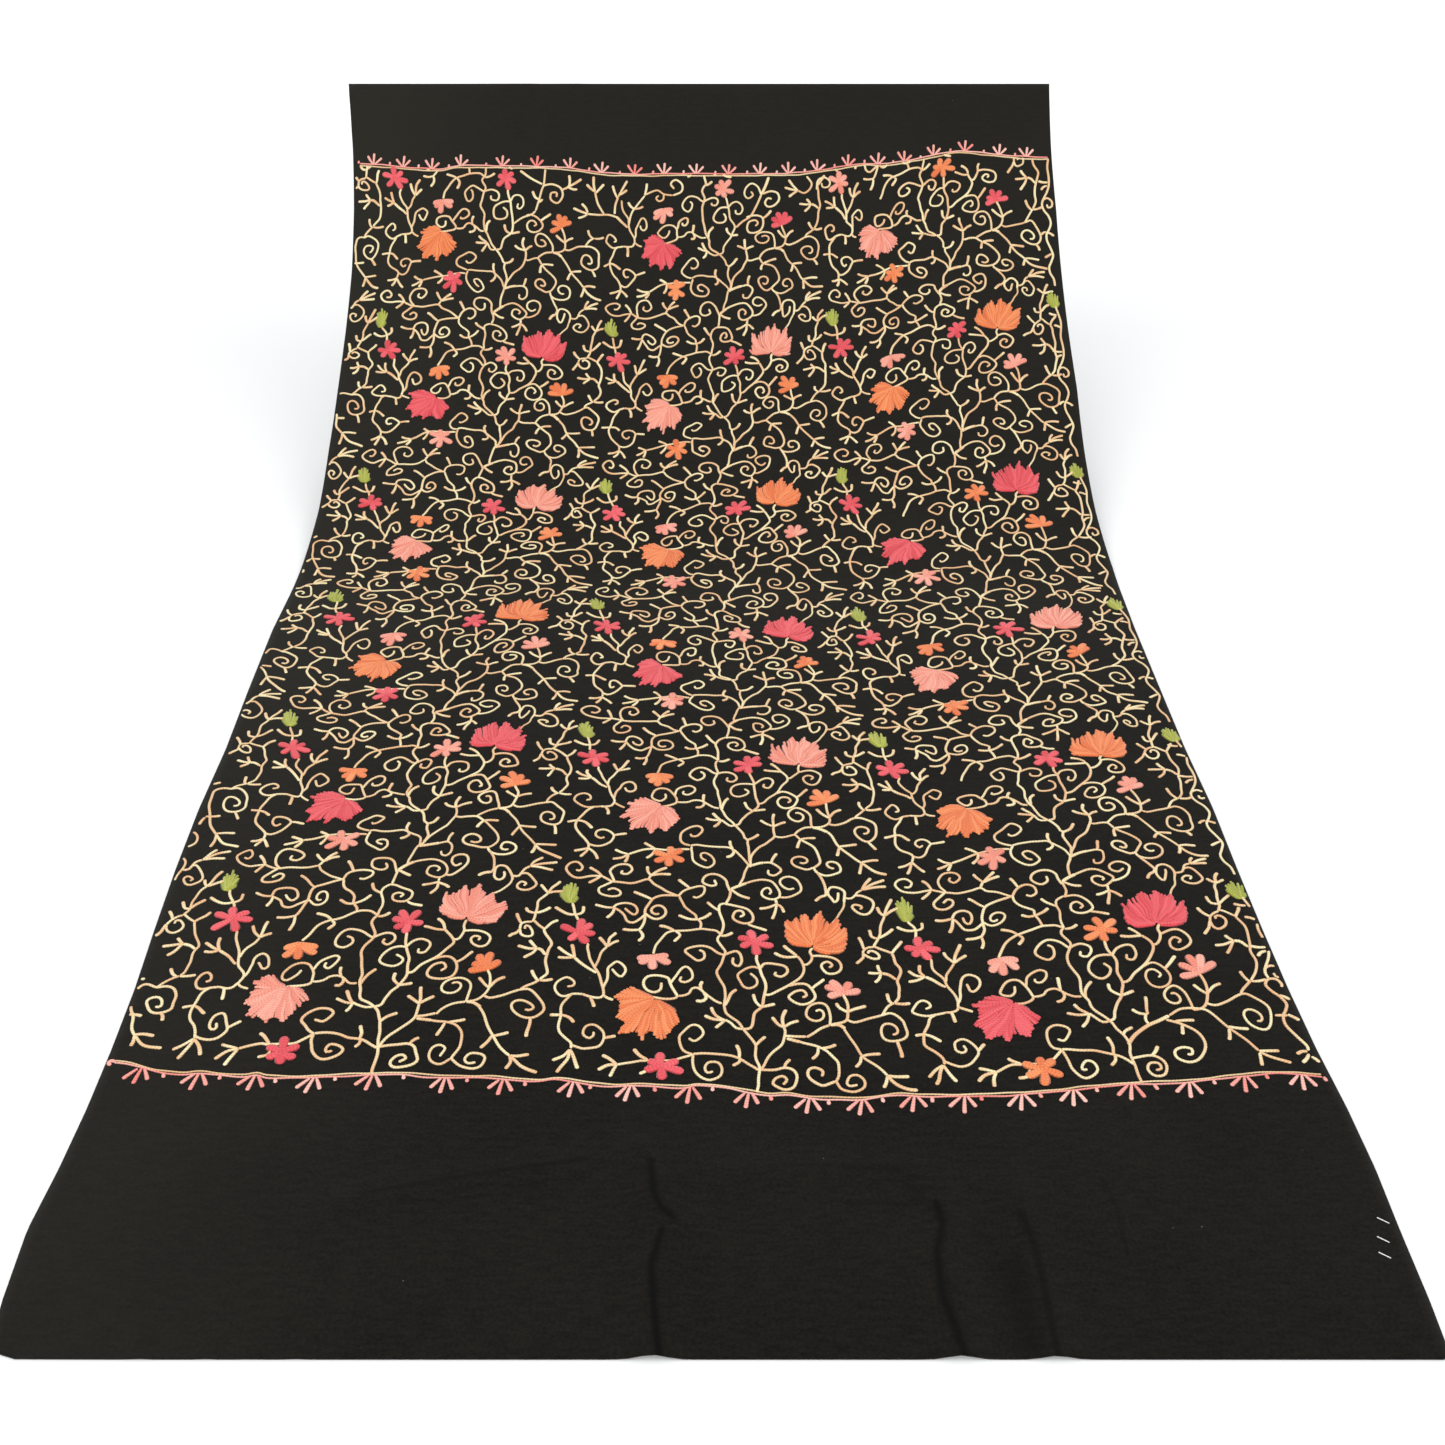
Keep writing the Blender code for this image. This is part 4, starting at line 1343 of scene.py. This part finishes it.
def sewFlower(sewing, kind, toCloth):
    # a petal's route = (travel x cos(angle + bend), travel x sin(angle + bend)), the bend growing as travel^2
    halves = halvesOf(petalLook["widths"])
    for degrees, length in flowers[kind]["petals"]:
        angle = math.radians(degrees + chance.normal(0.0, petalLook["angleChance"]))
        reach = length * (1 + chance.normal(0.0, petalLook["sizeChance"]))
        travel = np.linspace(petalLook["start"], reach, 7)
        bent = angle + chance.normal(0.0, petalLook["bendChance"]) * (travel / reach) ** 2
        route = toCloth(np.stack([travel * np.cos(bent), travel * np.sin(bent)], axis=1))
        tone = chanceTone(petalLook["tone"], petalLook["toneChance"])
        lift = seat + petalLook["lift"] * millimetre + chance.uniform(0, petalLook["liftChance"] * millimetre)
        sewing.band(
            route, halves, petalLook["height"] * millimetre,
            section="loop", step=petalLook["step"], tones=tone, lift=lift,
        )


def sewFlowers():
    # one piece for each thread colour; a flower's heart goes through the warp
    sewings = {letter: Sewing() for letter in threadNames}
    for kind, flower in flowers.items():
        for row, (*runs, letters) in enumerate(motifs[kind]["rows"]):
            for column, letter in enumerate(letters):
                if letter in sewings:
                    chart = unitOrigin(row, column) + np.array(flower["heart"]) * millimetre
                    sewFlower(sewings[letter], kind, aroundMotif(warpPlaces(chart[None, :])[0], chart))
    return [(sewings[letter].piece("flowers" + thread), thread) for letter, thread in threadNames.items()]


flowerPieces = sewFlowers()


# Borders and basting.

# millimetres; "ends" are how far the rows go across the cloth, and "step" a step along them, in metres
borderLook = {
    "rowHeight": 0.9, "gap": 0.3, "ends": (-0.4945, 0.4955), "tones": 22, "twineTurn": 1.3, "step": 0.003,
    "prongWidths": (2.3, 3.5, 4.0), "prongHeight": 1.0, "prongFoot": 1.2, "prongChance": 0.7,
    "prongBow": (0.10, 0.8),
    "knob": (0.6, 5.0), "knobWidths": (3.2, 3.8), "knobFoot": 1.4, "knobChance": 0.5,
    "tone": 0.45, "toneChance": 0.3, "prongTone": 0.12,
    # the little hook at the near border's left end
    "hook": {
        "from": (1.5, -1.0), "radius": 2.2, "turn": 1.6 * math.pi, "width": 3.8, "height": 1.1,
        "tone": 0.4, "step": 0.0014,
    },
}
# height in millimetres, waves along the border, and how they start, as shares of a row's own turn
twineWaves = ((0.35, 95.0, 1.0), (0.3, 41.0, 2.0), (0.2, 213.0, -1.0))


def twine(across, turn):
    # how the two rows wander from each other, in millimetres: sum of height x sin(across x waves + start x
    # turn)
    return sum(height * np.sin(across * waves + start * turn) for height, waves, start in twineWaves)


def borderRoute(border):
    # the smooth line of a border, as far as its rows go
    route = smoothRoute(np.array(border["line"]), samples=9)
    left, right = edgeBows(route[:, 1])
    first, last = borderLook["ends"]
    return route[(route[:, 0] > first - left) & (route[:, 0] < last + right)]


def sewRows(cream, pink, border, route):
    # the cream row inside and the pink one outside: route + side x (half width + gap) + twine
    half, height = border["rowWidth"] / 2, borderLook["rowHeight"] * millimetre
    for sewing, side in ((cream, -1.0), (pink, 1.0)):
        aside = side * border["outward"] * (half + borderLook["gap"])
        offset = aside + twine(route[:, 0], borderLook["twineTurn"] * side)
        row = route + np.stack([np.zeros(len(route)), offset * millimetre], axis=1)
        tones = chance.uniform(0.0, 1.0, borderLook["tones"])
        sewing.band(row, (half * millimetre,) * 2, height, step=borderLook["step"], tones=tones)


def sewSprigs(pink, border, route):
    # three prongs from each sprig's foot, and a knob between sprigs, all pointing outwards
    outward, height = border["outward"], borderLook["prongHeight"] * millimetre
    scale = np.array([1, outward]) * millimetre
    prongHalves, knobHalves = halvesOf(borderLook["prongWidths"]), halvesOf(borderLook["knobWidths"])

    def footAt(across, aside):
        # the border's line at that place, moved outwards
        return np.array([across, np.interp(across, route[:, 0], route[:, 1]) + outward * aside * millimetre])

    for across in border["sprigs"]:
        foot = footAt(across, borderLook["prongFoot"])
        tone = chanceTone(borderLook["tone"], borderLook["toneChance"])
        for start, tip in border["prongs"]:
            start = foot + np.array(start) * scale
            tip = foot + (np.array(tip) + chance.normal(0, borderLook["prongChance"], 2)) * scale
            aside, out = borderLook["prongBow"]
            middle = (start + tip) / 2 + np.array([aside * (tip[0] - start[0]), outward * out * millimetre])
            shade = np.clip(tone + chance.normal(0, borderLook["prongTone"]), 0, 1)
            prong = smoothRoute([start, middle, tip])
            pink.band(prong, prongHalves, height, tones=shade, step=borderLook["step"])
    for across in border["knobs"]:
        foot = footAt(across, borderLook["knobFoot"])
        tip = foot + (np.array(borderLook["knob"]) + chance.normal(0, borderLook["knobChance"], 2)) * scale
        shade = chanceTone(borderLook["tone"], borderLook["toneChance"])
        pink.band(smoothRoute([foot, tip]), knobHalves, height, tones=shade, step=borderLook["step"])


def sewBorders():
    # both borders, and the hook = middle + radius x (cos(turn), sin(turn))
    cream, pink = Sewing(), Sewing()
    for border in borders.values():
        route = borderRoute(border)
        sewRows(cream, pink, border, route)
        sewSprigs(pink, border, route)
    hook = borderLook["hook"]
    middle = np.array(borders["near"]["line"][1]) + np.array(hook["from"]) * millimetre
    turn = np.linspace(0.0, hook["turn"], 14)[:, None]
    circle = np.concatenate([np.cos(turn), np.sin(turn)], axis=1) * hook["radius"] * millimetre
    pink.band(
        middle + circle, halvesOf((hook["width"],) * 2), hook["height"] * millimetre,
        tones=hook["tone"], step=hook["step"],
    )
    return cream.piece("borderCream"), pink.piece("borderPink")


borderCream, borderPink = sewBorders()

# start of each stitch (across, run), how far it goes, and its width and height in millimetres
basting = {
    "places": ((0.4890, 0.1262), (0.4831, 0.1088), (0.4795, 0.0947)),
    "reach": (0.0074, -0.0056), "width": 0.85, "height": 0.6, "step": 0.003,
}


def sewBasting():
    # three short straight stitches in a row, each from its place to place + reach
    sewing = Sewing()
    halves = halvesOf((basting["width"],) * 2)
    for across, run in basting["places"]:
        route = np.array([(across, run), (across + basting["reach"][0], run + basting["reach"][1])])
        sewing.band(route, halves, basting["height"] * millimetre, step=basting["step"])
    return sewing.piece("bastingStitches")


bastingPiece = sewBasting()


# Finishes.

class Wire:
    # one socket of a material; + - and * between wires and numbers add the Math nodes they stand for
    def __init__(self, tree, socket):
        self.tree = tree
        self.socket = socket

    def output(self, key):
        # another output of the node that this wire comes from
        return Wire(self.tree, self.socket.node.outputs[key])

    def __add__(self, other):
        return maths(self.tree, "ADD", self, other)

    def __radd__(self, other):
        return maths(self.tree, "ADD", other, self)

    def __sub__(self, other):
        return maths(self.tree, "SUBTRACT", self, other)

    def __rsub__(self, other):
        return maths(self.tree, "SUBTRACT", other, self)

    def __mul__(self, other):
        return maths(self.tree, "MULTIPLY", self, other)

    def __rmul__(self, other):
        return maths(self.tree, "MULTIPLY", other, self)


def addNode(tree, kind, settings, inputs, output=0):
    # one node of any kind: its settings first, then numbers, colours or wires into its sockets
    node = tree.nodes.new(kind)
    for key, value in settings.items():
        setattr(node, key, value)
    for key, value in inputs.items():
        if isinstance(value, Wire):
            tree.links.new(value.socket, node.inputs[key])
        else:
            node.inputs[key].default_value = value
    return Wire(tree, node.outputs[output])


def maths(tree, operation, *values, clamped=False):
    # one Math node
    settings = {"operation": operation, "use_clamp": clamped}
    return addNode(tree, "ShaderNodeMath", settings, dict(enumerate(values)))


def linear(screen):
    # a screen colour, 0 to 255, as the shader takes it: the sRGB curve, whose foot is straight
    shares = [channel / 255.0 for channel in screen]
    return tuple(share / 12.92 if share < 0.0404 else ((share + 0.055) / 1.055) ** 2.4 for share in shares)


def noise(tree, place, scale, detail):
    # soft chance pattern, 0 to 1
    return addNode(tree, "ShaderNodeTexNoise", {}, {"Vector": place, "Scale": scale, "Detail": detail})


def mixColours(tree, share, first, second, blend="MIX"):
    # first where share is 0, second where it is 1
    colours = [(*colour, 1.0) if isinstance(colour, tuple) else colour for colour in (first, second)]
    settings = {"data_type": "RGBA", "blend_type": blend, "clamp_factor": True}
    return addNode(tree, "ShaderNodeMix", settings, {0: share, 6: colours[0], 7: colours[1]}, output=2)


def ease(tree, value, low, high):
    # smooth step from 0 at low to 1 at high
    settings = {"interpolation_type": "SMOOTHSTEP"}
    return addNode(tree, "ShaderNodeMapRange", settings, {"Value": value, "From Min": low, "From Max": high})


def newFinish(name, constants):
    # a material whose shader has the given constants
    finish = bpy.data.materials.new(name)
    finish.use_nodes = True
    tree = finish.node_tree
    shader = tree.nodes["Principled BSDF"]
    for key, value in constants.items():
        shader.inputs[key].default_value = value
    return finish, tree, shader


woolLook = {
    # screen colours; the third is the painted light of the raised end and the left edge
    "dark": (4, 4, 3), "light": (27, 25, 20), "raised": (46, 44, 38), "lint": (120, 116, 106),
    # patterns in each metre
    "weavePerMetre": 1250.0, "napScale": 360.0, "streakScale": 210.0, "cloudScale": 7.0, "lintScale": 95.0,
    "streakStretch": (0.3, 1.0, 1.0),
    # how much each of them lightens the wool
    "toneShares": {"weave": 0.1, "clouds": 0.18, "nap": 0.45, "streaks": 0.27},
    # radius of a speck within its cell, from full to none; the cells that have one; how strong it shows
    "lintRadius": (0.03, 0.075), "lintCells": (0.975, 0.98), "lintShare": 0.5,
    "bumpStrength": 0.35, "bumpDepth": 0.0004,
    # where the wool is painted lighter, in metres, and how much: painted light on the raised far end and
    # painted sheen towards the left edge
    "farPaintedLight": {"runs": (0.7, 1.85), "share": 0.38}, "leftPaintedLight": {"across": (-0.5, -0.2), "share": 0.24},
    # painted shade along the folds' creases, darkening the wool: depth, half width and route in millimetres
    # across and along the cloth
    "creases": (
        (0.85, 3.2, ((-48, 182), (-45, 152), (-40, 138), (-30, 126))),
        (0.90, 3.2, ((-38, 116), (-45, 84), (-43, 50), (-38, 5))),
        (0.80, 3.4, ((165, 141), (168, 122), (161, 98), (160, 60), (170, 5))),
        (0.60, 3.2, ((226, 132), (232, 98), (232, 5))),
        (0.45, 13.0, ((212, 82), (216, 20))),
        (0.30, 2.0, ((294, 166), (299, 140), (298, 98))),
        (0.40, 2.2, ((-262, 152), (-180, 170), (-96, 185))),
        (0.35, 2.2, ((100, 175), (176, 175))),
        (0.30, 2.2, ((100, 143), (160, 142))),
    ),
}


def creaseShade(tree, across, along):
    # painted crease shade: the most of depth x exp(-(distance / half width)^2) over the straight pieces of
    # every crease
    most = 0.0
    for depth, halfWidth, route in woolLook["creases"]:
        places = (np.array(route, float) * millimetre).tolist()
        for (x0, s0), (x1, s1) in zip(places[:-1], places[1:]):
            wayAcross, wayAlong = x1 - x0, s1 - s0
            square = wayAcross ** 2 + wayAlong ** 2
            fromAcross, fromAlong = across - x0, along - s0
            share = maths(
                tree, "ADD", fromAcross * (wayAcross / square), fromAlong * (wayAlong / square), clamped=True,
            )
            asideAcross, asideAlong = fromAcross - share * wayAcross, fromAlong - share * wayAlong
            distance = asideAcross * asideAcross + asideAlong * asideAlong
            fading = maths(tree, "EXPONENT", distance * (-1 / (halfWidth * millimetre) ** 2))
            most = maths(tree, "MAXIMUM", most, fading * depth)
    return most


def makeWool():
    # near-black fine wool: soft clouds of tone, a plain weave, short nap and a few specks of lint, with
    # painted light on the raised end and the left edge and painted shade along the creases
    finish, tree, shader = newFinish("blackWool", {
        "Sheen Weight": 0.07, "Sheen Roughness": 0.45, "Sheen Tint": (0.75, 0.72, 0.66, 1.0),
        "Specular IOR Level": 0.10,
    })
    place = addNode(tree, "ShaderNodeUVMap", {"uv_map": "along"}, {})
    across = addNode(tree, "ShaderNodeSeparateXYZ", {}, {0: place})
    along = across.output(1)
    clouds = noise(tree, place, woolLook["cloudScale"], 4.0)
    nap = noise(tree, place, woolLook["napScale"], 3.0)
    stretch = woolLook["streakStretch"]
    stretched = addNode(tree, "ShaderNodeVectorMath", {"operation": "MULTIPLY"}, {0: place, 1: stretch})
    streaks = noise(tree, stretched, woolLook["streakScale"], 2.0)
    # plain weave: sine across x sine along
    waves = 2 * math.pi * woolLook["weavePerMetre"]
    weave = maths(tree, "SINE", across * waves) * maths(tree, "SINE", along * waves) * 0.5 + 0.5
    shares = woolLook["toneShares"]
    tone = weave * shares["weave"]
    for name, pattern in (("clouds", clouds), ("nap", nap), ("streaks", streaks)):
        tone = tone + ease(tree, pattern, 0.3, 0.7) * shares[name]
    base = mixColours(tree, tone, linear(woolLook["dark"]), linear(woolLook["light"]))
    # painted light: lighter where the cloth rises, and painted sheen towards its left edge
    farPaintedLight, leftPaintedLight = woolLook["farPaintedLight"], woolLook["leftPaintedLight"]
    paintedLight = ease(tree, along, *farPaintedLight["runs"]) * farPaintedLight["share"]
    paintedLight = paintedLight + (1 - ease(tree, across, *leftPaintedLight["across"])) * leftPaintedLight["share"]
    base = mixColours(tree, paintedLight, base, linear(woolLook["raised"]))
    # lint: a speck in the middle of the few cells whose own chance number is high
    cells = addNode(
        tree, "ShaderNodeTexVoronoi", {"feature": "F1"}, {"Vector": place, "Scale": woolLook["lintScale"]},
    )
    cellChance = addNode(tree, "ShaderNodeSeparateColor", {}, {0: cells.output("Color")})
    speck = (1 - ease(tree, cells, *woolLook["lintRadius"])) * ease(tree, cellChance, *woolLook["lintCells"])
    base = mixColours(tree, speck * woolLook["lintShare"], base, linear(woolLook["lint"]))
    # painted shade: the wool darkens towards black along the creases
    base = mixColours(tree, creaseShade(tree, across, along), base, (0.0, 0.0, 0.0))
    tree.links.new(base.socket, shader.inputs["Base Color"])
    roughness = 0.86 + 0.1 * nap
    tree.links.new(roughness.socket, shader.inputs["Roughness"])
    bump = addNode(tree, "ShaderNodeBump", {}, {
        "Strength": woolLook["bumpStrength"], "Distance": woolLook["bumpDepth"],
        "Height": weave * 0.4 + nap * 0.8,
    })
    tree.links.new(bump.socket, shader.inputs["Normal"])
    return finish


threadLook = {
    # shade at tone 0, shade at tone 1
    "tan": ((250, 234, 183), (238, 186, 136)),
    "cream": ((243, 222, 172), (228, 186, 134)),
    "pink": ((255, 196, 180), (247, 134, 122)),
    "orange": ((248, 150, 94), (230, 116, 63)),
    "crimson": ((239, 99, 105), (219, 69, 77)),
    "salmon": ((250, 174, 152), (236, 138, 116)),
    "green": ((182, 186, 82), (158, 162, 58)),
    "white": ((255, 255, 252), (246, 246, 240)),
}
# the stitch form that all threads share
chain = {
    "stitchesPerCentimetre": 3.3, "slant": 0.45, "fibreScale": 60.0, "fibreShade": 0.35,
    # where each groove begins and is deepest: along a stitch, then out from the band's middle
    "gap": (0.62, 0.98), "furrow": (0.0, 0.28), "rim": (0.55, 1.0),
    # how much painted shade darkens each of them
    "gapPaintedShade": 0.24, "furrowPaintedShade": 0.10, "rimPaintedShade": 0.40,
    "bumpStrength": 0.7, "bumpDepth": 0.0005,
}


def makeThread(name):
    # chain stitch: V-shaped grooves at every stitch along the band, a furrow down its middle, and fine
    # fibres; the grooves, the furrow and the band's sides get painted shade
    first, second = threadLook[name]
    finish, tree, shader = newFinish(name + "Thread", {
        "Roughness": 0.6, "Sheen Weight": 0.25, "Sheen Roughness": 0.4, "Specular IOR Level": 0.3,
    })
    place = addNode(tree, "ShaderNodeUVMap", {"uv_map": "along"}, {})
    along = addNode(tree, "ShaderNodeSeparateXYZ", {}, {0: place})
    side = maths(tree, "ABSOLUTE", along.output(1) * 2 - 1)
    stitch = maths(tree, "FRACT", along * chain["stitchesPerCentimetre"] + side * chain["slant"])
    gap = ease(tree, maths(tree, "ABSOLUTE", stitch * 2 - 1), *chain["gap"])
    furrow = 1 - ease(tree, side, *chain["furrow"])
    rim = ease(tree, side, *chain["rim"])
    fibres = noise(tree, place, chain["fibreScale"], 3.0)
    tone = addNode(tree, "ShaderNodeAttribute", {"attribute_name": "tone"}, {}, output=2)
    base = mixColours(tree, tone, linear(first), linear(second))
    # painted shade: darker in the gaps between stitches, down the furrow and at the band's sides
    dark = gap * chain["gapPaintedShade"] + furrow * chain["furrowPaintedShade"] + rim * chain["rimPaintedShade"]
    shade = 1 - dark + (fibres - 0.5) * chain["fibreShade"]
    grey = addNode(tree, "ShaderNodeCombineColor", {}, {0: shade, 1: shade, 2: shade})
    base = mixColours(tree, 1.0, base, grey, "MULTIPLY")
    tree.links.new(base.socket, shader.inputs["Base Color"])
    height = (1 - gap) * 0.6 + (1 - furrow) * 0.3 + fibres * 0.2
    bump = addNode(tree, "ShaderNodeBump", {}, {
        "Strength": chain["bumpStrength"], "Distance": chain["bumpDepth"], "Height": height,
    })
    tree.links.new(bump.socket, shader.inputs["Normal"])
    return finish


wool = makeWool()
threads = {name: makeThread(name) for name in threadLook}


def dress(piece, finish, slot, nodes=()):
    # gives a piece its finish, its body and the CAD nodes that it stands for; slot is not used
    piece.data.materials.append(finish)
    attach(piece, "root")
    if nodes:
        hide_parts(*nodes)


dress(woolCloth, wool, "black_wool", ["shawl_cloth"])
for piece in vinePieces:
    dress(piece, threads["tan"], "tan_thread")
for piece, thread, nodes in lotusPieces:
    dress(piece, threads[thread.lower()], thread.lower() + "_thread", nodes)
for piece, thread in flowerPieces:
    dress(piece, threads[thread.lower()], thread.lower() + "_thread")
dress(budPiece, threads["green"], "green_thread")
dress(borderCream, threads["cream"], "tan_thread")
dress(borderPink, threads["pink"], "salmon_thread")
dress(bastingPiece, threads["white"], "white_thread")
sewn = vinePieces + [entry[0] for entry in lotusPieces] + [entry[0] for entry in flowerPieces]
sewn += [budPiece, borderCream, borderPink, bastingPiece]
print("finishes on", len(sewn) + 1, "pieces")


# Floor, light and camera.

studio = {
    "floor": (0.90, 0.90, 0.89), "floorHalf": 6.0, "floorDrop": 0.0004,
    "world": (0.95, 0.97, 1.0), "worldStrength": 0.72,
    # place, size, power, aimed at
    "lamps": (
        ((-1.6, -1.0, 2.6), 2.2, 24.0, (0.0, 0.1, 0.0)),
        ((1.8, -0.5, 2.4), 2.0, 16.0, (0.0, 0.2, 0.0)),
        ((0.0, 4.4, 3.0), 3.0, 90.0, (0.0, 4.4, 0.0)),
        ((0.0, -4.0, 1.7), 2.0, 72.0, (0.0, 1.2, 0.4)),
    ),
}
# a plain square just under the shawl
corners = np.array([(-1, -1), (1, -1), (1, 1), (-1, 1)]) * studio["floorHalf"]
floorPoints = np.concatenate([corners, np.full((4, 1), -studio["floorDrop"])], axis=1)
floor = makeMesh("studioFloor", floorPoints, np.array([[0, 1, 2, 3]]))
floorFinish = newFinish("paleFloor", {"Base Color": (*studio["floor"], 1.0), "Roughness": 0.9})[0]
floor.data.materials.append(floorFinish)

world = bpy.data.worlds.new("studio")
world.use_nodes = True
background = world.node_tree.nodes["Background"]
background.inputs["Color"].default_value = (*studio["world"], 1.0)
background.inputs["Strength"].default_value = studio["worldStrength"]
bpy.context.scene.world = world
bpy.context.scene.view_settings.view_transform = "Standard"


def aim(thing, target):
    # turns a lamp so that its own -Z points at the target
    away = np.array(thing.location) - np.array(target)
    flatReach = math.hypot(away[0], away[1])
    thing.rotation_euler = (math.atan2(flatReach, away[2]), 0.0, math.atan2(away[0], -away[1]))


for number, (place, size, power, target) in enumerate(studio["lamps"]):
    lamp = bpy.data.lights.new("softLamp" + str(number + 1), "AREA")
    lamp.shape = "DISK"
    lamp.size = size
    lamp.energy = power
    lampObject = bpy.data.objects.new(lamp.name, lamp)
    lampObject.location = place
    bpy.context.scene.collection.objects.link(lampObject)
    aim(lampObject, target)

# place in metres before the cloth's shift, degrees down from level, turn in radians; focal length and photo
# in pixels
camera = {
    "place": (-0.0046, -0.7207, 0.9933), "pitch": 33.15, "yaw": -0.01278,
    "pixels": 1700.0, "photo": 1445.0, "sensor": 36.0,
}
cameraData = bpy.data.cameras.new("photoCamera")
cameraData.sensor_width = camera["sensor"]
cameraData.lens = camera["pixels"] / camera["photo"] * camera["sensor"]
cameraObject = bpy.data.objects.new("photoCamera", cameraData)
cameraObject.location = np.array(camera["place"]) + clothShift
cameraObject.rotation_euler = (math.radians(90.0 - camera["pitch"]), 0.0, camera["yaw"])
bpy.context.scene.collection.objects.link(cameraObject)
bpy.context.scene.camera = cameraObject
print("studio ready")

bpy.context.view_layer.update()
